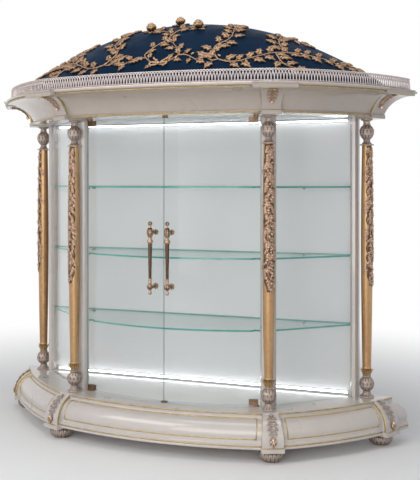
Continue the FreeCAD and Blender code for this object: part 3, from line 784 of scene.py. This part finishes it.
# Stems of the sprays as (u, v) points
SIDE_SPRAY = (
    ((276, 460), (322, 462), (369, 447), (411, 418), (453, 385), (494, 349), (549, 315), (599, 282),
     (651, 261), (698, 237), (745, 224), (791, 196), (828, 146)),
    ((276, 460), (247, 431), (238, 402), (250, 372), (280, 335), (287, 290), (280, 243), (268, 190),
     (262, 150)),
    ((551, 308), (506, 271), (486, 202), (494, 150), (535, 138), (586, 135)),
    ((508, 349), (534, 379), (563, 395), (611, 391)),
    ((276, 460), (247, 469), (217, 452)),
)
MIDDLE_SPRAY = (
    ((8, 500), (-30, 490), (-66, 463), (-77, 446), (-60, 417), (-28, 382), (-9, 366), (1, 330), (-20, 296),
     (-85, 254)),
    ((18, 500), (48, 491), (73, 471), (90, 449), (69, 418), (21, 373)),
    ((2, 330), (16, 289), (36, 258), (67, 225)),
    ((-68, 466), (-108, 458), (-136, 472), (-162, 480)),
    ((86, 456), (124, 454), (162, 468), (184, 479)),
)


def ivy():
    for side, flip in SIDES.items():
        form = Form()
        for stem in SIDE_SPRAY:
            spray(form, [(flip * u, v) for u, v in stem])
        form.piece("ivy_spray_" + side, GILT)
    form = Form()
    for stem in MIDDLE_SPRAY:
        spray(form, stem, gap=35.0, size=42.0)
    form.piece("ivy_spray_center", GILT)


def ribbon(form, at, line, wide, thick=1.6):
    """Flat band along (x, y, h) points laid on the dome."""
    last = len(line) - 1

    def spot(row, column):
        x, y, h = line[row]
        ahead, behind = line[min(row + 1, last)], line[max(row - 1, 0)]
        dx, dy = ahead[0] - behind[0], ahead[1] - behind[1]
        size = hypot(dx, dy) or 1.0
        nx, ny = -dy / size, dx / size
        f = (column - 1) / 2
        x, y = x + nx * f * wide, y + ny * f * wide
        return at(x, y, h + (0.9 if f == 0 else 0.0)), at(x, y, h - thick), 0.75 if f == 0 else 0.95

    shell(form, len(line), 3, spot)


# A loop and a tail of the bow as (x, y, h) points
BOW_LINES = (
    ((0, 0, 3), (16, -9, 7), (32, -13, 10), (40, -4, 11), (32, 7, 10), (15, 6, 8), (0, 0, 6)),
    ((0, 0, 4), (10, 14, 5), (17, 27, 4), (30, 36, 5), (37, 50, 3)),
)


def bouquet_bow():
    """Bow that ties the middle spray: two loops, two tails and a knot."""
    form = Form()
    at = dome_patch(13.0, 503.0, 0.0, 4.0)
    for flip in (-1, 1):
        for line in BOW_LINES:
            ribbon(form, at, smooth([(flip * x, y, h) for x, y, h in line], 6), 8.0)
    bead(form, at, 8.0, 14.0)
    form.piece("bouquet_bow", GILT)


# Rings of petals: how many, share of the width, share of the height, flare at the lip
PETALS = ((3, 0.40, 1.0, 0.0), (4, 0.70, 0.90, 0.08), (5, 1.0, 0.72, 0.14))
PETAL_THICK = 1.6
ROSE_SIZE = 22.0
ROSE_TALL = 42.0


def rose(form, u, v, size, tall, start):
    """Open rosebud: rings of petals that wrap over each other, with leaves round its foot."""
    at = dome_patch(u, v, start)
    for count, reach, height, flare in PETALS:
        span = tau / count * 0.72
        for middle in turns(count):

            def spot(row, column):
                q, p = row / 7, (column - 4) / 4
                r = size * reach * (0.35 + 0.65 * sin(q * 2.3)) * (1 + 0.10 * p)
                r += size * flare * q ** 4
                h = tall * height * q * (1 - 0.20 * p * p)
                a = middle + reach * 5 + p * span
                # Crest rises from deep in the bud to the lip: painted shade inside the rose
                return at(*polar(r, a), h), at(*polar(r - PETAL_THICK, a), h), 0.08 + 0.92 * q ** 2

            shell(form, 8, 9, spot)
    bead(form, at, size * 0.34, tall * 0.9, 0.5)
    for turn in turns(4, 0.5):
        heading = start + turn
        patch = dome_patch(*polar(0.5 * size, heading, u, v), heading, 2.0)
        leaf(form, patch, IVY, 36.0, 28.0, 5.0, curl=3.0, ground=-3.0)


def roses():
    form = Form()
    for k, (u, v) in enumerate(ROSEBUDS):
        rose(form, u, v, ROSE_SIZE, ROSE_TALL, 0.7 * k)
    form.piece("roses", GILT, replaces=["rosebuds"])


# Pierced gallery of interlaced arches on a plinth rail, with a thin strand along their feet
LACE_MIDDLE = -GALLERY_INSET - 2.0
ARCH_HALF = 21.0
ARCH_PITCH = 14.0
ARCH_PARTS = 20
RAIL_PARTS = 60


def arches(form, arc, first, last, flip):
    foot, tall = CORNICE_TOP + 4.0, GALLERY_TOP - CORNICE_TOP - 7.0
    length = (last - first) * arc.radius
    count = max(1, round((length - 2 * ARCH_HALF) / ARCH_PITCH))
    for k in range(-2, count + 3):
        centre = first + (ARCH_HALF + (length - 2 * ARCH_HALF) * k / count) / arc.radius
        path = []
        for i in range(ARCH_PARTS + 1):
            t = pi * (1 - i / ARCH_PARTS)
            x, z = ARCH_HALF * cos(t), foot + tall * sin(t) ** 0.8
            angle = centre + x / arc.radius
            if first <= angle <= last:
                path.append(arc.spot(angle, LACE_MIDDLE + 1.4 * cos(t), z, flip))
        if len(path) > 2:
            tube(form, path, 2.5, sides=6, crest=0.95)
    plinth, line = [], []
    for i in range(RAIL_PARTS + 1):
        angle = first + (last - first) * i / RAIL_PARTS
        for d, z in ((-3, 0), (5, 0), (5, 7), (-3, 7)):
            plinth.append(arc.spot(angle, LACE_MIDDLE + d, CORNICE_TOP + z, flip))
        line.append(arc.spot(angle, LACE_MIDDLE, CORNICE_TOP + 11.0, flip))
    form.add(plinth, skin(RAIL_PARTS + 1, 4), [1.0] * len(plinth))
    tube(form, line, 2.4, sides=6, crest=0.9)


def gallery():
    corner = FRONT.plan(FRONT.edge(TOP_SIDE) - GALLERY_INSET, 0.0)
    middle_end = TOP_MIDDLE.angle(*corner)
    form = Form()
    arches(form, TOP_MIDDLE, -middle_end, middle_end, 1.0)
    form.piece("gallery_lace_center", LACE, "gallery_silver", ["gallery_center"])
    first = TOP_SIDE.angle(*corner)
    last = TOP_SIDE.wall(LACE_MIDDLE) - 0.003
    for side, flip in SIDES.items():
        form = Form()
        arches(form, TOP_SIDE, first, last, flip)
        form.piece("gallery_lace_" + side, LACE, "gallery_silver", ["gallery_" + side])


# Columns: carved ball foot with a gilt leaf crown, ball capital, and a hanging garland
SHAFT_LOW = DECK_TOP + 140.0
SHAFT_HIGH = BRACKET_BOTTOM - 122.0
SHAFT_STOPS = smooth([(0.0, 20.0), (0.16, 23.5), (0.5, 27.0), (0.8, 25.5), (1.0, 22.0)], 10)


def shaft_radius(z):
    return between(SHAFT_STOPS, (z - SHAFT_LOW) / (SHAFT_HIGH - SHAFT_LOW))


# Carved parts: steps of the profile, bands of leaves, and rings of beads as (height, radius)
COLUMN_FOOT = (
    ((31, 0), (31, 6), (17, 31, 20, 17), (34.5, 62, 28, 40), (17, 93, 28, 84), (17, 106)),
    ((4, 33, 12, 0.0, 2.2), (32, 60, 11, 0.0, 2.8), (48, 80, 11, 0.5, 2.8), (96, 68, 11, 0.0, 2.8)),
    ((3.5, 31.0), (96.0, 17.5)),
)
CAPITAL = (
    ((22, -122), (30, -121), (30, -117), (16, -94, 19, -108), (34, -59, 27, -82), (15, -26, 27, -36),
     (15, -20), (27, -5, 17, -10), (27, 0)),
    ((-117, -92, 12, 0.0, 2.2), (-95, -64, 11, 0.0, 2.8), (-74, -42, 11, 0.5, 2.8), (-22, -52, 11, 0.0, 2.8)),
    ((-119.0, 30.0), (-23.0, 15.5)),
)
CROWN_LEAVES = 7
CROWN_LONG = 40.0


def leaf_crown(station):
    """Two rings of gilt leaves that rise from the ball foot round the neck of the shaft."""
    z = DECK_TOP
    form = Form()
    for low, shift, flare, wide in ((z + 98, 0.0, 17.0, 26.0), (z + 104, 0.5, 12.0, 22.0)):
        for turn in turns(CROWN_LEAVES, shift):

            def at(x, y, h):
                q = x / CROWN_LONG
                reach = 16.5 + flare * q ** 1.7 + h
                return station.ring(reach, turn + y / 22.0, low + 38.0 * q - 8.0 * q ** 5)

            leaf(form, at, IVY, CROWN_LONG, wide, 2.2, 1.8)
    neck = profile([(17, z + 106), (15, z + 118), (20, z + 134, 16, z + 127), (20, z + 140)])
    carved_turning(form, station, 0.0, neck, (), 48)
    form.piece("leaf_crown_" + station.name, CROWN)


def shaft_patch(station, angle, z, lean):
    """Maps (along, across, height) on a shaft to a point; lean is the angle of along from straight down."""
    radius = shaft_radius(z)

    def at(x, y, h):
        down, side = turned(x, y, lean)
        level = min(z - down, SHAFT_HIGH - 0.5)
        return station.ring(shaft_radius(level) + h, angle + side / radius, level)

    return at


GARLAND_LOW = 716.0
GARLAND_PARTS = 90
GARLAND_STEP = 11.5


def garland(station):
    """Carved garland down the outward face: a dark ground sheet that paints the shade between the leaves,
    leaves on a waving stem, flowers and berries.
    """
    form = Form()
    low, high = GARLAND_LOW, SHAFT_HIGH - 3.0

    # Dark ground sheet under the leaves: painted shade
    def ground(row, column):
        z = high - (high - low) * row / GARLAND_PARTS
        half = min(0.98, 0.35 + (z - low) / 90.0) * (1 + 0.10 * sin(z / 7.0))
        at = shaft_patch(station, half * (column - 4) / 4, z, 0.0)
        return at(0, 0, 0.9), at(0, 0, -0.8), 0.13

    shell(form, GARLAND_PARTS + 1, 9, ground)
    z, k, stem = SHAFT_HIGH - 8.0, 0, []
    while z > low + 16.0:
        sway = 0.30 * sin(k * 0.5)
        stem.append((sway, z))
        narrow = min(1.0, 0.4 + (z - low) / 150.0)
        for side in (-1, 1):
            size = chance.uniform(23, 32) * (0.6 + 0.4 * narrow)
            lean = side * radians(chance.uniform(12, 62))
            turn = sway + side * chance.uniform(0.05, 0.70) * narrow
            patch = shaft_patch(station, turn, z, lean)
            leaf(form, patch, IVY, size, size * 0.52, 5.2, 1.8, chance.uniform(0, 3))
        if k % 5 == 2:
            for lean in turns(5):
                patch = shaft_patch(station, sway, z - 7, lean)
                leaf(form, patch, BAY, 13.0 * narrow, 11.0 * narrow, 5.0, 1.8, 4.0)
            bead(form, shaft_patch(station, sway, z - 7, 0.0), 3.8, 11.0)
        else:
            turn = sway + chance.uniform(-0.7, 0.7) * narrow
            bead(form, shaft_patch(station, turn, z - 9, 0.0), chance.uniform(2.8, 4.0), 7.5)
        z -= GARLAND_STEP
        k += 1
    path = [shaft_patch(station, a, level, 0.0)(0, 0, 1.8) for a, level in smooth(stem, 4)]
    tube(form, path, 2.4, sides=6, crest=0.5)
    leaf(form, shaft_patch(station, stem[-1][0], stem[-1][1], 0.0), BAY, 30.0, 14.0, 4.5, 1.8)
    form.piece("garland_" + station.name, ROSE_GILT)


BUN_FOOT = (
    ((34, 0), (40, 0.1 * FOOT_TALL, 39, 0.03 * FOOT_TALL), (56, 0.6 * FOOT_TALL, 53, 0.32 * FOOT_TALL),
     (47, 0.87 * FOOT_TALL, 55, 0.78 * FOOT_TALL), (44, 0.9 * FOOT_TALL), (46, FOOT_TALL)),
    ((0.95 * FOOT_TALL, 0.42 * FOOT_TALL, 18, 0.0, 2.8), (0.66 * FOOT_TALL, 0.03 * FOOT_TALL, 18, 0.5, 2.8)),
)


# Carved drops and gilt edges on the blocks and brackets
REVEAL_STEPS = 40
REVEAL_DEPTHS = (1.0, 5.5, 10.0)
LEAF_PAIRS = 5


class Face:
    """Front of a block or bracket: x runs down its profile, t across it, h away from it."""

    def __init__(self, station, points):
        self.station, self.points = station, points
        self.length = sum(dist(a, b) for a, b in zip(points, points[1:]))

    def at(self, x, t, h):
        left = x
        for a, b in zip(self.points, self.points[1:]):
            size = dist(a, b)
            if left <= size or b is self.points[-1]:
                break
            left -= size
        dn, dz = (b[0] - a[0]) / size, (b[1] - a[1]) / size
        return self.station.spot(a[0] + dn * left - dz * h, t, a[1] + dz * left + dn * h)


def face_patch(face, x0, t0, lean, rise=0.0):
    """Maps (along, across, height) near a place on a face to a point; lean is counted from straight down."""
    def at(x, y, h):
        down, side = turned(x, y, lean)
        return face.at(x0 + down, t0 + side, rise + h)

    return at


def reveal(form, face, half, start, end):
    """Gilt strip along both sides of a block or bracket, just behind its front edge."""
    for side in (-1, 1):

        def spot(row, column):
            x = face.length * (start + (end - start) * row / REVEAL_STEPS)
            back = REVEAL_DEPTHS[column]
            t = between(half, face.at(x, 0, -back).z / MM)
            return face.at(x, side * (t + 0.9), -back), face.at(x, side * (t - 0.8), -back), 0.9

        shell(form, REVEAL_STEPS + 1, len(REVEAL_DEPTHS), spot)


def drop(form, face, start, length, size, bud):
    """Hanging spray of leaf pairs with a flower above and a bud below."""
    tube(form, [face.at(start + length * i / 10, 0, 1.5) for i in range(11)], 2.2, sides=6, crest=0.6)
    for k in range(LEAF_PAIRS):
        x = start + length * (k + 0.35) / LEAF_PAIRS
        for side in (-1, 1):
            lean = side * radians(62 - 6 * k)
            long = size * (0.62 + 0.55 * sin(pi * (k + 0.6) / LEAF_PAIRS))
            leaf(form, face_patch(face, x, side * 2.0, lean, 1.0), IVY, long, long * 0.8, 5.0, 1.6, 2.0)
    for lean in turns(6):
        leaf(form, face_patch(face, start, 0.0, lean, 1.0), BAY, 13.0, 12.0, 4.0, 1.6, 3.0)
    bead(form, face_patch(face, start, 0.0, 0.0), 4.5, 11.0)
    end = face_patch(face, start + length, 0.0, 0.0)
    bead(form, lambda x, y, h: end(x * 1.5, y, h), bud, 2.2 * bud, crest=1.0, rings=8)


# Half the width of a block and of a bracket at each height, as (z, half) pairs
HEAD = CORNICE_TOP - 26.0
BLOCK_SIDE = bow((47, FOOT_TALL + 22), (44, FOOT_TALL + 84), (34, DECK_TOP), 24)
BLOCK_HALF = sorted((z, t) for t, z in BLOCK_SIDE)
BRACKET_SIDE = bow((44, CORNICE_BOTTOM + 14), (45, CORNICE_BOTTOM + 60), (58, HEAD), 24)
BRACKET_HALF = sorted((z, t) for t, z in BRACKET_SIDE)


def block_trim(station):
    edge = station.edge(BASE_SIDE)
    points = bow((36, DECK_TOP), (edge - 12, DECK_TOP - 44), (edge + 10, FOOT_TALL + 20), 40)
    face = Face(station, points)
    form = Form()
    drop(form, face, 0.22 * face.length, 0.58 * face.length, 25.0, 5.0)
    form.piece("block_drop_" + station.name, SILVER, "carved_silver")
    form = Form()
    bud = 0.80 * face.length
    for lean, long in ((-0.55, 25.0), (0.55, 25.0), (0.0, 33.0)):
        leaf(form, face_patch(face, bud, 0.0, lean, 3.0), BAY, long, 22.0, 9.0, curl=2.0, ground=-4.0)
    bead(form, face_patch(face, bud + 2.0, 0.0, 0.0), 6.0, 13.0)
    form.piece("block_bud_" + station.name, ROSE_GILT)
    form = Form()
    reveal(form, face, BLOCK_HALF, 0.08, 0.99)
    low = FOOT_TALL + 19.0
    path = [station.spot(edge + 10.5, t, low) for t in (-47.0, -20.0, 0.0, 20.0, 47.0)]
    tube(form, path, 2.4)
    form.piece("block_gilding_" + station.name, GOLD_LINE)


def bracket_trim(station):
    edge = station.edge(TOP_SIDE)
    low, out = edge - COVE_REACH, edge + 8.0
    points = bow((out - 16, HEAD), (low + 38, CORNICE_BOTTOM + 66), (low + 10, CORNICE_BOTTOM + 14), 40)
    face = Face(station, points)
    form = Form()
    drop(form, face, 0.15 * face.length, 0.64 * face.length, 25.0, 6.5)
    form.piece("bracket_drop_" + station.name, ROSE_GILT)
    form = Form()
    reveal(form, face, BRACKET_HALF, 0.02, 0.98)
    path = [station.spot(out - 11.0, t, HEAD + 1.0) for t in (-58.0, -20.0, 20.0, 58.0)]
    tube(form, path, 2.4)
    form.piece("bracket_gilding_" + station.name, GOLD_LINE)


# Gilt lines along the base and the cornice, as (distance outside the run, height, radius)
RUNS = (("center", 1.0), ("right", 1.0), ("left", -1.0))
BASE_LINES = ((-66.0, DECK_TOP - 4.0, 3.0), (-4.5, BASE_BOTTOM + 13.5, 2.8))
CORNICE_LINES = ((-9.0, CORNICE_TOP - 16.0, 3.0, 96.0), (-COVE_REACH, CORNICE_BOTTOM + 4.0, 3.4, 43.0))
PANEL_INSET = 24.0
SWELL_LOW, SWELL_HIGH = BASE_BOTTOM + 40.0, DECK_UNDER - 6.0
SWELL = bow((-58, SWELL_HIGH), (-19, SWELL_LOW + 0.66 * (SWELL_HIGH - SWELL_LOW)), (-8, SWELL_LOW), 24)


def gilt_run(form, arc, first, last, d, z, size, flip):
    count = max(8, round((last - first) * arc.radius / 16))
    angles = [first + (last - first) * i / count for i in range(count + 1)]
    tube(form, [arc.spot(angle, d, z, flip) for angle in angles], size)


def base_runs(arc, d, z):
    """Angles of a run between the blocks at one height: middle, side, and the stub behind the back block."""
    half = between(BLOCK_HALF, z) - 1.0
    if arc is BASE_MIDDLE:
        end = FRONT.meets(arc, d, -half, 0.0, arc.angle(*BASE_CORNER))
        return [(-end, end)]
    low, high = arc.angle(*BASE_CORNER), arc.angle(*BASE_END) + 0.02
    return [
        (FRONT.meets(arc, d, half, low, high), BACK.meets(arc, d, -half, low, high)),
        (BACK.meets(arc, d, half, low, high + 0.3), arc.wall(d))]


def panel(form, arc, flip):
    """Framed panel on the swell of the base; its ends follow the flare of the blocks."""
    inset = PANEL_INSET / arc.radius
    ends = [base_runs(arc, d, z)[0] for d, z in SWELL]
    for i, rise, size in ((0, 0.5, 2.9), (-1, 3.0, 3.0)):
        d, z = SWELL[i]
        gilt_run(form, arc, ends[i][0] + inset, ends[i][1] - inset, d - 0.5, z + rise, size, flip)
    for k, shift in ((0, inset), (1, -inset)):
        path = [arc.spot(run[k] + shift, d, z, flip) for (d, z), run in zip(SWELL, ends)]
        tube(form, path, 2.4)


def base_gilding():
    for name, flip in RUNS:
        arc = BASE_MIDDLE if name == "center" else BASE_SIDE
        form = Form()
        for d, z, size in BASE_LINES:
            for first, last in base_runs(arc, d, z):
                if last - first > 0.01:
                    gilt_run(form, arc, first, last, d, z, size, flip)
        panel(form, arc, flip)
        form.piece("base_gilding_" + name, GOLD_LINE)


def cornice_gilding():
    """Lines between the brackets; a line's fourth value is half the width that a bracket covers."""
    corner = FRONT.plan(FRONT.edge(TOP_SIDE), 0.0)
    end = TOP_SIDE.angle(*TOP_END)
    for name, flip in RUNS:
        arc = TOP_MIDDLE if name == "center" else TOP_SIDE
        form = Form()
        for d, z, size, half in CORNICE_LINES:
            if arc is TOP_MIDDLE:
                last = FRONT.meets(arc, d, -half, 0.0, arc.angle(*corner) + 0.05)
                first = -last
            else:
                low = arc.angle(*corner) - 0.1
                first = FRONT.meets(arc, d, half, low, end)
                last = BACK.meets(arc, d, -half, low, end + 0.05)
            gilt_run(form, arc, first, last, d, z, size, flip)
        form.piece("cornice_gilding_" + name, GOLD_LINE)


# Pull handles, one on each door beside the line where the doors meet; profiles as (radius, height)
DOOR_FACE = Arc(0.0, DOOR_APEX - DOOR_RADIUS, DOOR_RADIUS)
HANDLE_U = 39.5
HANDLE_OUT = 61.0
ROD_CREST = 0.34
POST_CREST = 0.55
HANDLE_ROD = ((6.2, 760.0), (9.2, 925.0))
HANDLE_LOWER = (
    (1.0, 691.0), (6.5, 702.0, 5.6, 694.0), (4.4, 711.0, 6.2, 707.0), (5.0, 714.0),
    (5.6, 741.0, 14.2, 727.0), (7.7, 745.0), (7.7, 751.0), (5.6, 755.0), (6.0, 765.0, 8.2, 760.0),
    (6.0, 768.0))
LOWER_BANDS = ((740.0, 715.0, 8, 0.0, 2.0),)
HANDLE_UPPER = (
    (8.0, 919.0), (9.2, 922.0), (9.0, 939.0, 13.2, 930.5), (6.4, 945.0), (8.5, 950.0),
    (7.5, 993.0, 14.8, 972.0), (5.6, 998.0), (5.0, 1002.0), (1.0, 1021.0, 10.2, 1011.0))
UPPER_BANDS = ((951.0, 992.0, 8, 0.0, 2.2), (1003.0, 1020.0, 6, 0.0, 1.2))
# Stand-off from the rod through the glass to its inner cap, as (radius, distance out from the glass)
HANDLE_POST = (
    (4.4, HANDLE_OUT), (4.4, 41.0), (4.4, 33.0, 6.8, 37.0), (4.0, 22.0), (4.4, 14.0), (8.0, 6.0, 5.0, 9.0),
    (8.0, -0.3), (4.0, -0.3), (4.0, -5.7), (9.5, -5.7), (9.5, -8.0), (1.0, -13.0, 7.0, -12.0))
# Rosettes at the stand-offs, as (height, radius)
POST_ROSES = ((724.0, 16.5), (970.0, 15.0))
ROSE_HEART = 3.0
ROSE_LEAVES = 8


class Pull:
    """A handle's place on its door: n runs out from the glass and t along it."""

    def __init__(self, side):
        self.flip = SIDES[side]

    def spot(self, n, t, z):
        return DOOR_FACE.spot((HANDLE_U + t) / DOOR_FACE.radius, n, z, self.flip)


class Post:
    """A stand-off's place: it is turned about a line that runs out from the glass at one height."""

    def __init__(self, pull, z):
        self.pull, self.z = pull, z

    def spot(self, x, y, n):
        return self.pull.spot(n, x, self.z + y)


def handle(side):
    pull = Pull(side)
    form = Form()
    carved_turning(form, pull, HANDLE_OUT, profile(HANDLE_ROD, 8.0), (), 40, ROD_CREST)
    carved_turning(form, pull, HANDLE_OUT, profile(HANDLE_LOWER, 1.0), LOWER_BANDS, 64)
    carved_turning(form, pull, HANDLE_OUT, profile(HANDLE_UPPER, 1.0), UPPER_BANDS, 64)
    for z, reach in POST_ROSES:
        post = Post(pull, z)
        carved_turning(form, post, 0.0, profile(HANDLE_POST), (), 32, POST_CREST)
        for turn in turns(ROSE_LEAVES):

            def at(x, y, h):
                return post.spot(*turned(ROSE_HEART + x, y, turn), 4.0 + h)

            leaf(form, at, BAY, reach - ROSE_HEART, 0.62 * reach, 3.2, ground=-3.6)
    form.piece("door_handle_" + side, BRONZE, "hinge_brass", body=side + "_door")


ivy()
bouquet_bow()
roses()
gallery()
for station in STATIONS:
    carved_part("column_foot", station, DECK_TOP, *COLUMN_FOOT)
    leaf_crown(station)
    carved_part("column_capital", station, BRACKET_BOTTOM, *CAPITAL)
    garland(station)
    carved_part("foot", station, 0.0, *BUN_FOOT, out=FOOT_OUT[station.row], sides=144)
    block_trim(station)
    bracket_trim(station)
base_gilding()
cornice_gilding()
for side in SIDES:
    handle(side)


# Studio: pale floor, soft light, camera where the photograph was taken
FADE_FROM = 1.1
FADE_TO = 3.4
FLOOR_HALF = 20.0
SENSOR = 36.0
PICTURE_TALL = 480.0
FOCAL_PIXELS = 802.1
HORIZON_PIXELS = 59.0
CAMERA_PLACE = (1391.0, 3787.0, 1202.0)
CAMERA_YAW = 0.3335
AMBIENT = 0.32


def area_light(name, spot, target, size, power, colour):
    data = bpy.data.lights.new(name, "AREA")
    data.shape = "RECTANGLE"
    data.size, data.size_y = size
    data.energy = power
    data.color = colour
    lamp = bpy.data.objects.new(name, data)
    lamp.location = spot
    lamp.rotation_euler = (Vector(target) - Vector(spot)).to_track_quat("-Z", "Y").to_euler()
    bpy.context.scene.collection.objects.link(lamp)


def pale_floor():
    """Floor that takes the shadow near the cabinet and fades to the white of the background."""
    look = Look("pale_floor", {"Roughness": 0.7})
    look.colour(look.ramp(look.noise(1.5, 2.0), ((0.3, (0.88, 0.88, 0.88)), (0.7, (0.91, 0.91, 0.91)))))
    white = look.node("Emission", {"Color": (*WHITE, 1.0), "Strength": 1.0})
    far = look.node("VectorMath", operation="LENGTH")
    look.link(look.where.outputs["Object"], far.inputs[0])
    sockets = {"From Min": FADE_FROM, "From Max": FADE_TO}
    fade = look.node("MapRange", sockets, interpolation_type="SMOOTHSTEP")
    look.link(far.outputs["Value"], fade.inputs["Value"])
    faded = look.maths("MULTIPLY", fade.outputs["Result"], look.seen())
    look.surface(look.blend(faded, look.shader.outputs["BSDF"], white.outputs["Emission"]))
    mesh = bpy.data.meshes.new("floor")
    corners = [(x * FLOOR_HALF, y * FLOOR_HALF, 0) for x, y in ((-1, -1), (1, -1), (1, 1), (-1, 1))]
    mesh.from_pydata(corners, [], [[0, 1, 2, 3]])
    mesh.materials.append(look.material)
    floor = bpy.data.objects.new("floor", mesh)
    bpy.context.scene.collection.objects.link(floor)


def studio():
    scene = bpy.context.scene
    scene.view_settings.view_transform = "Standard"
    data = bpy.data.cameras.new("camera")
    data.sensor_width = SENSOR
    data.lens = FOCAL_PIXELS / PICTURE_TALL * SENSOR
    data.shift_y = -HORIZON_PIXELS / PICTURE_TALL
    data.dof.use_dof = False
    camera = bpy.data.objects.new("camera", data)
    camera.location = place(*CAMERA_PLACE)
    camera.rotation_euler = (radians(90), 0, CAMERA_YAW)
    scene.collection.objects.link(camera)
    scene.camera = camera

    world = bpy.data.worlds.new("studio")
    scene.world = world
    world.use_nodes = True
    sky = Nodes(world.node_tree)
    light = sky.node("Background", {"Color": (0.93, 0.95, 1.0, 1.0), "Strength": AMBIENT})
    white = sky.node("Background", {"Color": (*WHITE, 1.0), "Strength": 1.0})
    shown = sky.blend(sky.seen(), light.outputs["Background"], white.outputs["Background"])
    sky.link(shown, sky.node("OutputWorld").inputs["Surface"])

    area_light("key", (-2.2, -3.6, 3.4), (0, 0, 0.9), (2.6, 2.0), 66, (1.0, 0.98, 0.95))
    area_light("fill", (3.4, -3.2, 2.2), (0, 0, 0.8), (2.4, 2.4), 9, (0.97, 0.98, 1.0))
    area_light("front", (0.4, -4.4, 1.25), (0, 0, 0.9), (3.0, 2.0), 60, (1.0, 1.0, 1.0))
    area_light("top", (0.2, -0.6, 4.4), (0, 0, 1.0), (3.0, 2.0), 50, (1, 1, 1))


pale_floor()
studio()
